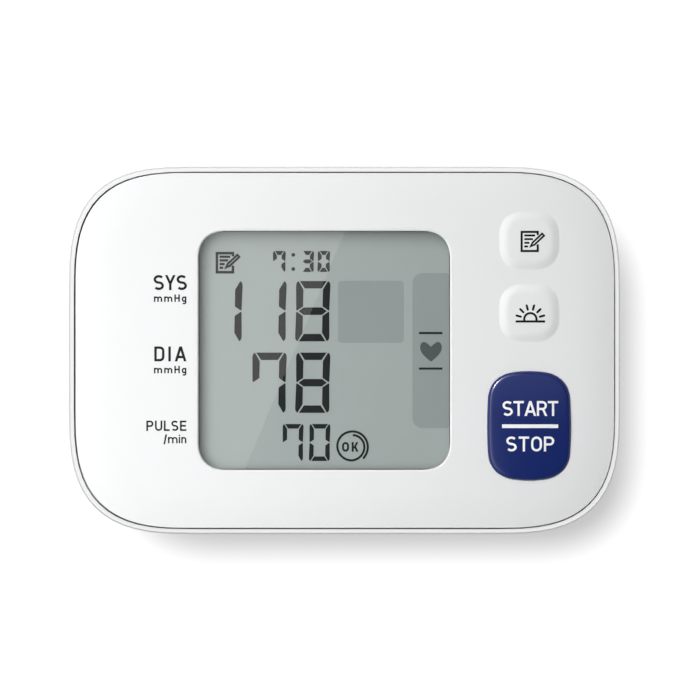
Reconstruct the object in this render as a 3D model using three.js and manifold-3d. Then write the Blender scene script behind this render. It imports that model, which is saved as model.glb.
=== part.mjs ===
// Wrist blood pressure monitor: a flat monitor, face up, on its closed wrist cuff.
// Millimetres, +Z up, +X to the right of the display, +Y towards the top of the display.
// The origin lies on the surface the cuff stands on, under the middle of the monitor.
import * as THREE from "three";
import { mergeVertices } from "three/addons/utils/BufferGeometryUtils.js";
import Module from "manifold-3d";

const wasm = await Module();
wasm.setup();

// Fits
const fit = 0.3; // clearance round a piece that moves in or passes through another
const seat = 0.1; // gap between two faces that rest on each other

// Monitor case
const trayRoom = 4.05; // from the battery tray's end wall to the outside of the case
const cornerReach = 20.4; // how far a corner's curve runs along each side
const cornerPower = 2.94; // 2 is a round corner, more is squarer
const caseWall = 2;
const backWall = 1.8;
const backEdge = 6; // radius from the side to the back
const backFillet = 2; // inside that edge
const sideDraft = 0.6; // how much narrower the side is at the back edge
const rimLip = 0.85; // width of the rim seen round the face
const rimRise = 0.35; // rim over the edge of the cover's side
const rimRound = 0.3; // how far the rim's outer edge rounds inward
const rimFall = 1.6; // how far down the side that round runs
const rimDepth = 2.5; // how deep the cover sits inside the rim

// Face cover
const coverGap = 0.25;
const coverWall = 2;
const skirtWall = 1.2;
const faceCrown = 0.5; // drop from the flat of the face to its edge
const crownReach = 6.5;
const faceEdge = 0.8; // radius of the cover's edge
const windowLip = 0.9; // cover thickness over the lens
const windowBevel = 0.3;

// Display
const windowWidth = 41;
const windowHeight = 38.9;
const windowCorner = 4.6;
const windowPower = 2.4;
const lensMargin = 1.3; // how far the lens reaches behind the window's edge
const lensThickness = 1;
const gasketThickness = 0.3;
const gasketWidth = 1.6;
const lcdMargin = 1;
const lcdThickness = 1.8;
const lcdFrameWall = 1;
const connectorHeight = 0.9;
const connectorWidth = 2;

// Keys
const keyInset = 14.9; // middle of the keys from the right end of the case
const keyRoom = 3.05; // between the display's frame and the large key's flange
const keyFlange = 0.8;
const keyFlangeWidth = 0.7;
const keyPower = 3;
const startWidth = 13.7;
const startHeight = 18;
const startCorner = 4.5;
const startBowX = 0.35; // how much the ends of its sides fall back
const startBowY = 1.18;
const startRoom = 0.4; // between the large key's flange and the screw boss below it
const startRise = 1.2;
const startRound = 0.9;
const smallWidth = 7.4;
const smallHeight = 7;
const smallCorner = 2.4;
const smallRise = 0.2;
const smallRound = 0.4;
const smallPitch = 11.8; // from one small key to the next
const membraneMargin = 1.3; // how far the soft skin reaches past the key
const membraneThickness = 0.55;
const membraneRim = 0.15;
const domeTop = 2.6; // radius
const domeBase = 3.6; // radius
const domeWall = 0.7;

// Main board
const boardThickness = 1.2;
const boardGap = 0.3;
const boardEdge = 1.2; // clearance from the case wall
const boardPostInset = 8; // from the long edges of the case
const boardPostOffset = 4.8; // from the window
const postRadius = 2.3;
const chipSize = 10;
const chipHeight = 1.4;
const chipOffset = 10; // to the left of the cuff's middle
const buzzerRadius = 4.5;
const buzzerHeight = 2;
const capacitorRadius = 2.5;
const capacitorLength = 8;
const sideInset = 9; // of the buzzer and the capacitor, from the right end

// Screws
const screwHead = 1.7; // radius
const screwCrown = 1.19; // radius of the head's flat
const screwHeadHeight = 1.2;
const screwShank = 0.9; // radius
const screwLength = 5.5;
const cuffScrewLength = 2.2;
const bossRadius = 2.1;
const bossRoom = 0.4; // between the bay's screw bosses and the display's frame
const wellDepth = 5; // from the back to the seat of a screw in its well
const wellFloor = 4;
const caseScrewInsetX = 12; // of the two screws at the right, from the right end
const caseScrewInsetY = 5.5; // and from the long edges
const bayScrewY = 14; // of the two screws in the battery bay

// Battery bay
const cellDiameter = 10.5;
const cellLength = 44.5;
const cellRound = 0.8; // radius of a cell's ends
const cellClear = 0.4;
const cellPitch = 10.8;
const cellInset = 11; // centre of the first cell from the left end
const nubRadius = 1.9;
const nubLength = 1;
const springRoom = 4;
const springWire = 0.25; // radius
const springTurns = 3.5;
const springBase = 3.5; // radius
const springTip = 2.625; // radius
const contactThickness = 0.4;
const contactHeight = 5.4;
const contactWidth = 5;
const trayRoof = 1;
const trayWall = 1;
const doorShort = 1.65; // how much shorter the door is than the bay, at each end
const doorRise = 8.5; // height of the door's end wall
const doorTab = 1.5;
const doorTabWidth = 6;
const doorTabThickness = 0.8; // of the tongues that hold the door's inner edge
const doorTabY = 12;
const gripRibs = 4;
const gripPitch = 1.8;
const gripHeight = 0.4;

// Air system
const pumpRadius = 5;
const pumpY = 14.5;
const motorLength = 13;
const pumpHeadLength = 10.7;
const shaftRadius = 0.9;
const eccentricRadius = 2.6;
const eccentricOffset = 0.8;
const eccentricWidth = 2;
const cradleLength = 9;
const valveLength = 13;
const valveWidth = 8;
const valveRoom = 9; // between the battery tray and the valve
const valveY = -14.5;
const plungerRadius = 1.5;
const plungerLength = 7;
const plungerOut = 2;
const airZ = 7.5; // height of the air lines over the back
const nozzleRadius = 0.9;
const nozzleLength = 3;
const hoseRadius = 2.1;
const hoseWall = 0.9;
const hoseBend = 4;
const manifoldSize = 8;
const manifoldInset = 16.35; // from the right end of the case
const sensorSize = 6;
const sensorHeight = 3;
const nippleY = 3;
const nippleFlange = 2.4; // radius
const nippleBore = 0.45; // radius

// Wrist cuff
const cuffWidth = 54.5;
const cuffFromDoor = 2;
const cuffFromEnd = 5.85; // from the right end of the case
const wristHeight = 50;
const clothThickness = 0.9;
const curlerThickness = 1;
const bladderThickness = 1.8;
const layerGap = 0.3;
const cuffSeat = 0.3;
const curlerMargin = 2; // from the cuff's edges
const bladderMargin = 8; // from the cuff's edges
const loopHalf = 28; // half of the loop's outer size across the wrist
const loopCorner = 14;
const lapCorner = 9; // lower corner under the flap
const lapTop = 22;
const hingeZ = 45;
const foldZ = 24; // where the pull tab bends off the flap
const tabEnd = 8;
const foldGap = 0.4;
const stiffenerThickness = 0.8;
const railInset = 4; // of the two rails that carry the cuff, from its edges
const railWidth = 4.2;
const railHalf = 8;
const cuffScrewY = 5;

// Fineness of curves
const cornerSteps = 7;
const caseSteps = 14; // in a corner of the case
const roundSteps = 14;
const edgeSteps = 4;
const backSteps = 7; // in the edge from the side to the back
const hoseSteps = 11;
const hoseSides = 5; // in each quarter
const springSteps = 10; // in each turn
const springSides = 3;
const screwSteps = 9;
const portSteps = 7;
const leastReach = 0.2; // of a corner that is shrunk away

// Heights over the back of the case, one piece stacked on the next
const cellZ = backWall + cellClear + cellDiameter / 2;
const trayZ = cellZ + cellDiameter / 2 + cellClear;
const trayTop = trayZ + trayRoof;
const boardZ = trayTop + boardGap;
const boardTop = boardZ + boardThickness;
const lcdZ = boardTop + connectorHeight + 2 * seat;
const lcdTop = lcdZ + lcdThickness;
const gasketZ = lcdTop + seat;
const lensZ = gasketZ + gasketThickness + seat;
const lensTop = lensZ + lensThickness;
const faceZ = lensTop + seat + windowLip;
const coverZ = faceZ - coverWall;
const edgeZ = faceZ - faceCrown - faceEdge;
const rimZ = edgeZ + rimRise;
const ledgeZ = rimZ - rimDepth;
const keyTop = coverZ - seat;
const keyBottom = keyTop - keyFlange;

// Cuff layers, as depths under the cuff's outer face
const curlerIn = clothThickness + layerGap;
const bladderIn = curlerIn + curlerThickness + layerGap;
const liningIn = bladderIn + bladderThickness + layerGap;
const cuffThickness = liningIn + clothThickness;
const bandTop = 2 * cuffThickness + wristHeight;
const backZ = bandTop + cuffSeat;
const stiffenerIn = clothThickness + layerGap;
const flapLiningIn = stiffenerIn + stiffenerThickness + layerGap;
const hookIn = clothThickness + layerGap;
const hookTo = flapLiningIn + clothThickness;
const lapHalf = loopHalf - hookTo - fit;

// The case is as high as the cells across it need, and as wide as its labels, window and keys
const trayHalf = (cellLength + springRoom) / 2 + contactThickness + 3 * seat;
const bodyHeight = 2 * (trayHalf + trayWall + trayRoom);
const displayEdge = lcdMargin + fit + lcdFrameWall; // of the display's frame, past the window
const labelColumn = cellInset + cellPitch / 2 + bossRadius + bossRoom + displayEdge;
const keyColumn = displayEdge + keyRoom + keyFlangeWidth + startWidth / 2 + keyInset;
const bodyWidth = labelColumn + windowWidth + keyColumn;
const windowX = (labelColumn - keyColumn) / 2;

// Places along the case
const cellX = [-bodyWidth / 2 + cellInset, -bodyWidth / 2 + cellInset + cellPitch];
const bayX = (cellX[0] + cellX[1]) / 2;
const doorX = cellX[1] + cellDiameter / 2 + cellClear;
const trayX = doorX + doorTab + fit;
const roomX = trayX + trayWall;
const doorHalf = trayHalf - doorShort;
const cuffX = (doorX + cuffFromDoor + bodyWidth / 2 - cuffFromEnd) / 2;
const postX = windowX + windowWidth / 2 + boardPostOffset;
const postY = bodyHeight / 2 - boardPostInset;
const screwX = bodyWidth / 2 - caseScrewInsetX;
const screwY = bodyHeight / 2 - caseScrewInsetY;
const towerTop = wellDepth + wellFloor;
const keyX = bodyWidth / 2 - keyInset;
const memoryY = screwY - bossRadius - fit - keyFlangeWidth - smallHeight / 2;
const morningY = memoryY - smallPitch;
const startY = bossRadius + startRoom + keyFlangeWidth + startHeight / 2 - screwY;
const pumpX = roomX + nozzleLength;
const headX = pumpX + motorLength + fit;
const pumpEnd = headX + pumpHeadLength;
const valveX = roomX + valveRoom;
const manifoldX = bodyWidth / 2 - manifoldInset;
const pilot = screwShank + fit;
const hoseBore = hoseRadius - hoseWall;

// Solids from three.js geometry
function solid(geometry) {
  const bare = new THREE.BufferGeometry();
  bare.setAttribute("position", geometry.getAttribute("position"));
  bare.setIndex(geometry.index);
  const merged = mergeVertices(bare, 1e-4);
  const corners = [];
  for (let i = 0; i < merged.index.count; i += 3) {
    const [a, b, c] = [0, 1, 2].map((k) => merged.index.getX(i + k));
    if (a !== b && b !== c && c !== a) corners.push(a, b, c);
  }
  const vertProperties = merged.attributes.position.array;
  const triVerts = new Uint32Array(corners);
  return new wasm.Manifold(new wasm.Mesh({ numProp: 3, vertProperties, triVerts }));
}

const join = (...solids) => wasm.Manifold.union(solids);
const cut = (body, ...tools) => body.subtract(join(...tools));

function box(x0, x1, y0, y1, z0, z1) {
  const geometry = new THREE.BoxGeometry(x1 - x0, y1 - y0, z1 - z0);
  return solid(geometry.translate((x0 + x1) / 2, (y0 + y1) / 2, (z0 + z1) / 2));
}

function pin(x, y, z0, z1, radius, steps = roundSteps) {
  const geometry = new THREE.CylinderGeometry(radius, radius, z1 - z0, steps);
  return solid(geometry.rotateX(Math.PI / 2).translate(x, y, (z0 + z1) / 2));
}

function pinX(x0, x1, y, z, radius, steps = roundSteps) {
  const geometry = new THREE.CylinderGeometry(radius, radius, x1 - x0, steps);
  return solid(geometry.rotateZ(Math.PI / 2).translate((x0 + x1) / 2, y, z));
}

function pinY(x, y0, y1, z, radius, steps = roundSteps) {
  const geometry = new THREE.CylinderGeometry(radius, radius, y1 - y0, steps);
  return solid(geometry.translate(x, (y0 + y1) / 2, z));
}

// A rectangle with squarish round corners, whose sides may fall back towards their ends.
function outline({ halfW, halfH, reach, power, steps = cornerSteps, bowX = 0, bowY = 0, x = 0, y = 0 }) {
  const points = [];
  for (let corner = 0; corner < 4; corner++) {
    const right = corner === 0 || corner === 3 ? 1 : -1;
    const up = corner < 2 ? 1 : -1;
    for (let i = 0; i <= steps; i++) {
      const share = corner % 2 ? 1 - i / steps : i / steps;
      const angle = (share * Math.PI) / 2;
      const px = halfW - reach + reach * Math.abs(Math.cos(angle)) ** (2 / power);
      const py = halfH - reach + reach * Math.abs(Math.sin(angle)) ** (2 / power);
      const fallX = bowX * (py / halfH) ** 2;
      const fallY = bowY * (px / halfW) ** 2;
      points.push(new THREE.Vector2(x + right * (px - fallX), y + up * (py - fallY)));
    }
  }
  return points;
}

// The same kind of outline, grown or shrunk by an offset.
function grown(shape, offset) {
  const { halfW, halfH, reach } = shape;
  return outline({
    ...shape,
    halfW: halfW + offset,
    halfH: halfH + offset,
    reach: Math.max(reach + offset, leastReach),
  });
}

// A closed solid through matching rings, from the lowest ring to the highest.
function loft(rings) {
  const count = rings[0].points.length;
  const positions = rings.flatMap(({ z, points }) => points.flatMap((p) => [p.x, p.y, z]));
  const index = [];
  for (let ring = 0; ring < rings.length - 1; ring++) {
    for (let i = 0; i < count; i++) {
      const a = ring * count + i;
      const b = ring * count + ((i + 1) % count);
      index.push(a, b, b + count, a, b + count, a + count);
    }
  }
  const top = (rings.length - 1) * count;
  for (const [a, b, c] of THREE.ShapeUtils.triangulateShape(rings[0].points, [])) index.push(c, b, a);
  for (const [a, b, c] of THREE.ShapeUtils.triangulateShape(rings.at(-1).points, [])) {
    index.push(top + a, top + b, top + c);
  }
  const geometry = new THREE.BufferGeometry();
  geometry.setAttribute("position", new THREE.Float32BufferAttribute(positions, 3));
  geometry.setIndex(index);
  return solid(geometry);
}

const slab = (points, z0, z1) => loft([{ z: z0, points }, { z: z1, points }]);

// A profile drawn in Y and Z, drawn out along X.
function bandX(points, x0, x1) {
  const geometry = new THREE.ExtrudeGeometry(new THREE.Shape(points), {
    depth: x1 - x0,
    bevelEnabled: false,
  });
  const [x, y, z] = [new THREE.Vector3(1, 0, 0), new THREE.Vector3(0, 1, 0), new THREE.Vector3(0, 0, 1)];
  return solid(geometry.applyMatrix4(new THREE.Matrix4().makeBasis(y, z, x)).translate(x0, 0, 0));
}

// A round piece from pairs of radius and height, set up on one of four axes.
const axis = (x, z) => new THREE.Matrix4().makeRotationFromEuler(new THREE.Euler(x, 0, z));
const upward = axis(Math.PI / 2, 0);
const downward = axis(-Math.PI / 2, 0);
const forward = axis(0, 0);
const backward = axis(0, Math.PI);

function turned(profile, steps = roundSteps, way = upward) {
  const points = profile.map(([radius, height]) => new THREE.Vector2(radius, height));
  return solid(new THREE.LatheGeometry(points, steps).applyMatrix4(way));
}

// A hose that leaves along one direction, bends once and arrives along another.
function hose(start, out, end, into) {
  const corner = start.clone().addScaledVector(out, end.clone().sub(start).dot(out));
  const before = corner.clone().addScaledVector(out, -hoseBend);
  const after = corner.clone().addScaledVector(into, hoseBend);
  const path = new THREE.CurvePath();
  path.add(new THREE.LineCurve3(start, before));
  path.add(new THREE.QuadraticBezierCurve3(before, corner, after));
  path.add(new THREE.LineCurve3(after, end));
  const ring = new THREE.Shape().absarc(0, 0, hoseRadius, 0, Math.PI * 2);
  ring.holes.push(new THREE.Path().absarc(0, 0, hoseBore, 0, Math.PI * 2, true));
  const settings = { steps: hoseSteps, extrudePath: path, curveSegments: hoseSides };
  return solid(new THREE.ExtrudeGeometry(ring, settings));
}

class ConeCoil extends THREE.Curve {
  constructor(large, small, length, turns) {
    super();
    Object.assign(this, { large, small, length, turns });
  }
  getPoint(t, target = new THREE.Vector3()) {
    const angle = t * this.turns * Math.PI * 2;
    const radius = this.large + (this.small - this.large) * t;
    return target.set(radius * Math.cos(angle), t * this.length, radius * Math.sin(angle));
  }
}

// Pieces
function piece(parent, name, body, color, roughness, metalness = 0, place = [0, 0, 0]) {
  const { vertProperties, triVerts } = body.getMesh();
  const geometry = new THREE.BufferGeometry();
  geometry.setAttribute("position", new THREE.Float32BufferAttribute(vertProperties, 3));
  geometry.setIndex([...triVerts]);
  const mesh = new THREE.Mesh(geometry, new THREE.MeshStandardMaterial({ color, roughness, metalness }));
  mesh.name = name;
  mesh.position.set(...place);
  parent.add(mesh);
}

function group(parent, name, z = 0) {
  const made = new THREE.Group();
  made.name = name;
  made.position.z = z;
  parent?.add(made);
  return made;
}

const caseShape = {
  halfW: bodyWidth / 2,
  halfH: bodyHeight / 2,
  reach: cornerReach,
  power: cornerPower,
  steps: caseSteps,
};
const windowShape = {
  halfW: windowWidth / 2,
  halfH: windowHeight / 2,
  reach: windowCorner,
  power: windowPower,
  x: windowX,
};
const startShape = {
  halfW: startWidth / 2,
  halfH: startHeight / 2,
  reach: startCorner,
  power: keyPower,
  bowX: startBowX,
  bowY: startBowY,
  x: keyX,
  y: startY,
};
const smallShape = (y) => ({
  halfW: smallWidth / 2,
  halfH: smallHeight / 2,
  reach: smallCorner,
  power: keyPower,
  x: keyX,
  y,
});
const smallKeys = [
  { name: "memory", shape: smallShape(memoryY) },
  { name: "morning", shape: smallShape(morningY) },
];
const ring = (shape, offset, z) => ({ z, points: grown(shape, offset) });

// Quarter round of an edge, as pairs of inward offset and rise.
function quarter(radius, steps = edgeSteps) {
  const pairs = [];
  for (let i = 0; i <= steps; i++) {
    const angle = (i / steps) * (Math.PI / 2);
    pairs.push([radius * (1 - Math.cos(angle)), radius * Math.sin(angle)]);
  }
  return pairs;
}

const part = group(null, "wrist_blood_pressure_monitor");
const monitor = group(part, "monitor", backZ);
const cuff = group(part, "cuff");

// Back case: a tub whose rim stands round the face cover
function caseOuter(inset = 0) {
  return loft([
    ...quarter(backEdge, backSteps).map(([up, out]) =>
      ring(caseShape, out - backEdge - sideDraft - inset, up + inset)),
    ring(caseShape, -inset, (backEdge + rimZ) / 2),
    ...quarter(1).map(([inward, rise]) =>
      ring(caseShape, -rimRound * inward - inset, rimZ - rimFall * (1 - rise))),
  ]);
}

function caseShell() {
  const hollow = loft([
    ring(caseShape, -caseWall - sideDraft - backFillet, backWall),
    ring(caseShape, -caseWall - sideDraft, backWall + backFillet),
    ring(caseShape, -caseWall, ledgeZ),
    ring(caseShape, -caseWall, ledgeZ + seat),
  ]);
  const rim = slab(grown(caseShape, -rimLip), ledgeZ, rimZ + rimDepth);
  return cut(caseOuter(), hollow, rim);
}

const shell = caseShell();
const caseInside = caseOuter(rimLip);
const doorCut = box(-bodyWidth, doorX, -doorHalf, doorHalf, -backEdge, doorRise);
const doorRoom = box(-bodyWidth, doorX + fit, -doorHalf - fit, doorHalf + fit, -backEdge, doorRise + fit);

// Tongues at the door's inner edge, within the wall, or the notches that they slide into.
const doorTabs = (room = 0) => [-doorTabY, doorTabY].map((y) =>
  box(doorX - doorTab, doorX + doorTab + room, y - doorTabWidth / 2 - room, y + doorTabWidth / 2 + room,
    backWall - doorTabThickness - room, backWall + Math.min(room, seat)));

function batteryTray() {
  const left = -bodyWidth / 2 + caseWall;
  const roof = box(left, roomX, -trayHalf - trayWall, trayHalf + trayWall, trayZ, trayTop);
  const side = box(trayX, roomX, -trayHalf - trayWall, trayHalf + trayWall, backWall / 2, trayTop);
  const ends = [-1, 1].map((way) => {
    const [near, far] = [way * trayHalf, way * (trayHalf + trayWall)].sort((a, b) => a - b);
    return box(left, roomX, near, far, backWall / 2, trayTop);
  });
  const holes = [-bayScrewY, bayScrewY].map((y) => pin(bayX, y, trayZ - seat, trayTop + seat, pilot));
  return cut(join(roof, side, ...ends).intersect(caseInside), ...holes);
}

const towerRadius = screwHead + fit + trayWall;
const railBottom = -cuffSeat - curlerIn + seat;
const railXs = [cuffX - cuffWidth / 2 + railInset, cuffX + cuffWidth / 2 - railInset];
const cuffScrews = railXs.flatMap((x) => [-cuffScrewY, cuffScrewY].map((y) => [x, y]));
const wells = [[screwX, screwY], [screwX, -screwY]];
const posts = [[postX, postY], [postX, -postY]];
const rails = railXs.map((x) =>
  box(x - railWidth / 2, x + railWidth / 2, -railHalf, railHalf, railBottom, backWall));
const backCase = cut(
  join(
    cut(shell, doorRoom, ...doorTabs(fit)),
    batteryTray(),
    ...rails,
    ...wells.map(([x, y]) => pin(x, y, backWall / 2, towerTop, towerRadius).intersect(caseInside)),
    ...posts.map(([x, y]) => pin(x, y, backWall / 2, boardZ - seat, postRadius)),
  ),
  ...wells.map(([x, y]) => pin(x, y, -backEdge, wellDepth, screwHead + fit)),
  ...wells.map(([x, y]) => pin(x, y, -backEdge, towerTop + seat, pilot)),
  ...posts.map(([x, y]) => pin(x, y, boardZ - screwLength - fit, boardZ, pilot)),
  ...cuffScrews.map(([x, y]) => pin(x, y, railBottom - seat, railBottom + cuffScrewLength, pilot)),
  pin(cuffX, nippleY, -backEdge, backEdge, nozzleRadius + fit),
);
piece(monitor, "back_case", backCase, 0xf4f4f4, 0.4);

function batteryCover() {
  const ribs = [];
  for (let i = 0; i < gripRibs; i++) {
    const x = bayX + (i - (gripRibs - 1) / 2) * gripPitch;
    ribs.push(box(x - gripHeight, x + gripHeight, -doorTabY, doorTabY, -gripHeight, backWall / 2));
  }
  return join(shell.intersect(doorCut), ...doorTabs(), ...ribs);
}
piece(monitor, "battery_cover", batteryCover(), 0xf0f0f0, 0.45);

// Front cover with its window, key holes, skirt and screw bosses
const coverOffset = -rimLip - coverGap;

function frontCover() {
  const crown = [1 / 3, 2 / 3, 1].map((share) => {
    const left = (1 - share) ** 2;
    const inward = faceEdge + share * (crownReach - faceEdge);
    return ring(caseShape, coverOffset - inward, faceZ - faceCrown * left);
  });
  const edge = quarter(faceEdge).map(([inward, rise]) => ring(caseShape, coverOffset - inward, edgeZ + rise));
  const plate = loft([ring(caseShape, coverOffset, ledgeZ + seat), ...edge, ...crown]);
  const hollow = slab(grown(caseShape, coverOffset - skirtWall), ledgeZ - seat, coverZ);
  const bosses = [
    ...wells.map(([x, y]) => pin(x, y, towerTop + seat, coverZ + seat, bossRadius)),
    ...[bayScrewY, -bayScrewY].map((y) => pin(bayX, y, trayTop + seat, coverZ + seat, bossRadius)),
  ];
  const pilots = [
    ...wells.map(([x, y]) => pin(x, y, towerTop, wellDepth + screwLength + fit, pilot)),
    ...[bayScrewY, -bayScrewY].map((y) => pin(bayX, y, trayTop, trayZ + screwLength + fit, pilot)),
  ];
  const opening = loft([
    ring(windowShape, 0, coverZ),
    ring(windowShape, 0, faceZ - windowBevel),
    ring(windowShape, windowBevel, faceZ),
    ring(windowShape, windowBevel, faceZ + windowLip),
  ]);
  const lensSeat = slab(grown(windowShape, lensMargin + fit), coverZ - windowLip, lensTop + seat);
  const keyHoles = [startShape, ...smallKeys.map((key) => key.shape)].map((shape) =>
    slab(grown(shape, fit), coverZ - windowLip, faceZ + windowLip));
  return cut(join(cut(plate, hollow), ...bosses), ...pilots, opening, lensSeat, ...keyHoles);
}
piece(monitor, "front_cover", frontCover(), 0xf6f6f6, 0.35);

// Display
piece(monitor, "display_lens", slab(grown(windowShape, lensMargin), lensZ, lensTop), 0xdfe6e4, 0.05);
const lcdHalfW = windowWidth / 2 + lcdMargin;
const lcdHalfH = windowHeight / 2 + lcdMargin;
const lcdBox = (offset, z0, z1) => box(windowX - lcdHalfW - offset, windowX + lcdHalfW + offset,
  -lcdHalfH - offset, lcdHalfH + offset, z0, z1);
const gasket = cut(lcdBox(0, gasketZ, gasketZ + gasketThickness),
  lcdBox(-gasketWidth + lcdMargin / 2, gasketZ - seat, gasketZ + gasketThickness + seat));
piece(monitor, "display_gasket", gasket, 0x303234, 0.9);
piece(monitor, "lcd_panel", lcdBox(0, lcdZ, lcdTop), 0xa3adaa, 0.25);
const lcdFrame = cut(lcdBox(fit + lcdFrameWall, boardTop + seat, lcdTop),
  lcdBox(fit, boardTop, lcdTop + seat));
piece(monitor, "lcd_frame", lcdFrame, 0x2b2d2f, 0.6);
const connector = box(windowX - lcdHalfW + fit, windowX + lcdHalfW - fit,
  lcdHalfH - fit - connectorWidth, lcdHalfH - fit, boardTop + seat, lcdZ - seat);
piece(monitor, "lcd_connector", connector, 0xd08a8a, 0.8);

// Main board and what it carries underneath
const boardLeft = windowX - lcdHalfW - fit - lcdFrameWall;
const board = cut(
  box(boardLeft, bodyWidth / 2, -bodyHeight / 2, bodyHeight / 2, boardZ, boardTop)
    .intersect(slab(grown(caseShape, -caseWall - sideDraft - boardEdge), boardZ - seat, boardTop + seat)),
  ...wells.map(([x, y]) => pin(x, y, boardZ - seat, boardTop + seat, bossRadius + fit)),
  ...posts.map(([x, y]) => pin(x, y, boardZ - seat, boardTop + seat, pilot)),
);
piece(monitor, "main_board", board, 0x1f5a3a, 0.5);
const underBoard = boardZ - seat;
const chipX = cuffX - chipOffset;
const chip = box(chipX - chipSize / 2, chipX + chipSize / 2, -chipSize / 2, chipSize / 2,
  underBoard - chipHeight, underBoard);
piece(monitor, "controller_chip", chip, 0x1a1a1c, 0.5);
const sideX = bodyWidth / 2 - sideInset;
piece(monitor, "buzzer", pin(sideX, valveY / 2, underBoard - buzzerHeight, underBoard, buzzerRadius),
  0x222222, 0.5);
const capacitor = pinY(sideX, manifoldSize - nippleY, manifoldSize - nippleY + capacitorLength,
  underBoard - capacitorRadius, capacitorRadius);
piece(monitor, "capacitor", capacitor, 0x2a3550, 0.4);

// Keys and the rubber domes that lift them
function keyCap(shape, rise, round) {
  const top = faceZ + rise;
  return loft([
    ring(shape, keyFlangeWidth, keyBottom),
    ring(shape, keyFlangeWidth, keyTop),
    ring(shape, 0, keyTop),
    ...quarter(round).map(([inward, up]) => ring(shape, -inward, top - round + up)),
  ]);
}

function dome() {
  const height = keyBottom - boardTop - 2 * seat;
  return turned([
    [domeBase - domeWall, 0],
    [domeBase, 0],
    [domeBase, domeWall / 2],
    [domeTop, height],
    [0, height],
    [0, height - domeWall],
    [domeTop - domeWall, height - domeWall],
    [domeBase - domeWall, domeWall / 2],
    [domeBase - domeWall, 0],
  ]);
}

// A soft skin over a small key, thinning out to its rim on the face.
function membrane(shape) {
  const low = faceZ + seat;
  const inside = faceZ + smallRise + seat;
  const high = inside + membraneThickness;
  const skin = loft([
    ring(shape, membraneMargin, low),
    ring(shape, membraneMargin - membraneRim, low + membraneRim),
    ring(shape, 0, high - membraneRim),
    ring(shape, -membraneMargin / 2, high),
  ]);
  return cut(skin, slab(grown(shape, fit), low - seat, inside));
}

piece(monitor, "start_button", keyCap(startShape, startRise, startRound), 0x1e2f74, 0.2);
piece(monitor, "start_dome", dome(), 0xc9ccce, 0.8, 0, [keyX, startY, boardTop + seat]);
for (const { name, shape } of smallKeys) {
  piece(monitor, `${name}_button`, keyCap(shape, smallRise, smallRound), 0xf2f2f2, 0.4);
  piece(monitor, `${name}_dome`, dome(), 0xc9ccce, 0.8, 0, [keyX, shape.y, boardTop + seat]);
  piece(monitor, `${name}_membrane`, membrane(shape), 0xf4f4f4, 0.5);
}

// Screws, head down; the board screws are turned over
function screw(length, way = upward) {
  return turned([
    [0, -screwHeadHeight],
    [screwCrown, -screwHeadHeight],
    [screwHead, -screwHeadHeight / 2],
    [screwHead, 0],
    [screwShank, 0],
    [screwShank, length - screwShank],
    [0, length],
  ], screwSteps, way);
}

wells.forEach(([x, y], i) => {
  piece(monitor, `case_screw_${i + 1}`, screw(screwLength), 0xb8bcc0, 0.3, 1, [x, y, wellDepth - seat]);
});
[bayScrewY, -bayScrewY].forEach((y, i) => {
  piece(monitor, `bay_screw_${i + 1}`, screw(screwLength), 0xb8bcc0, 0.3, 1, [bayX, y, trayZ - seat]);
});
posts.forEach(([x, y], i) => {
  const place = [x, y, boardTop + seat];
  piece(monitor, `board_screw_${i + 1}`, screw(screwLength, downward), 0xb8bcc0, 0.3, 1, place);
});

// Batteries and their contacts; the second cell lies the other way round
function cell(way) {
  const radius = cellDiameter / 2;
  const body = cellLength - nubLength;
  const end = quarter(cellRound);
  return turned([
    [0, -body / 2],
    ...end.map(([inward, rise]) => [radius - inward, cellRound - rise - body / 2]).reverse(),
    ...end.map(([inward, rise]) => [radius - inward, body / 2 - cellRound + rise]),
    [nubRadius, body / 2],
    [nubRadius, body / 2 + nubLength],
    [0, body / 2 + nubLength],
  ], roundSteps, way);
}

const contactY = trayHalf - seat - contactThickness;
const cellShift = contactY - seat - nubLength - (cellLength - nubLength) / 2;
const contactBox = (x0, x1, y) => box(x0, x1, y - contactThickness / 2, y + contactThickness / 2,
  cellZ - contactHeight / 2, cellZ + contactHeight / 2);
const contactHalf = contactWidth / 2;
const plateY = contactY + contactThickness / 2;
const springLength = springRoom - 2 * seat - 2 * springWire - contactThickness / 2;

function spring(turn) {
  const wire = new THREE.Shape().absarc(0, 0, springWire, 0, Math.PI * 2);
  const coil = new ConeCoil(springBase, springTip, springLength, springTurns);
  const steps = Math.round(springTurns * springSteps);
  const geometry = new THREE.ExtrudeGeometry(wire, { steps, extrudePath: coil, curveSegments: springSides });
  return solid(geometry.rotateX(turn));
}

piece(monitor, "battery_1", cell(forward), 0x3a3d42, 0.35, 0.3, [cellX[0], cellShift, cellZ]);
piece(monitor, "battery_2", cell(backward), 0x3a3d42, 0.35, 0.3, [cellX[1], -cellShift, cellZ]);
piece(monitor, "battery_bridge", contactBox(cellX[0] - contactHalf, cellX[1] + contactHalf, plateY),
  0xc6c9cc, 0.3, 1);
piece(monitor, "battery_plus_plate", contactBox(cellX[1] - contactHalf, cellX[1] + contactHalf, -plateY),
  0xc6c9cc, 0.3, 1);
piece(monitor, "battery_minus_plate", contactBox(cellX[0] - contactHalf, cellX[0] + contactHalf, -plateY),
  0xc6c9cc, 0.3, 1);
const springStart = contactY - seat - springWire;
piece(monitor, "battery_spring_1", spring(0), 0xd0d3d6, 0.3, 1, [cellX[0], -springStart, cellZ]);
piece(monitor, "battery_spring_2", spring(Math.PI), 0xd0d3d6, 0.3, 1, [cellX[1], springStart, cellZ]);

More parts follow.
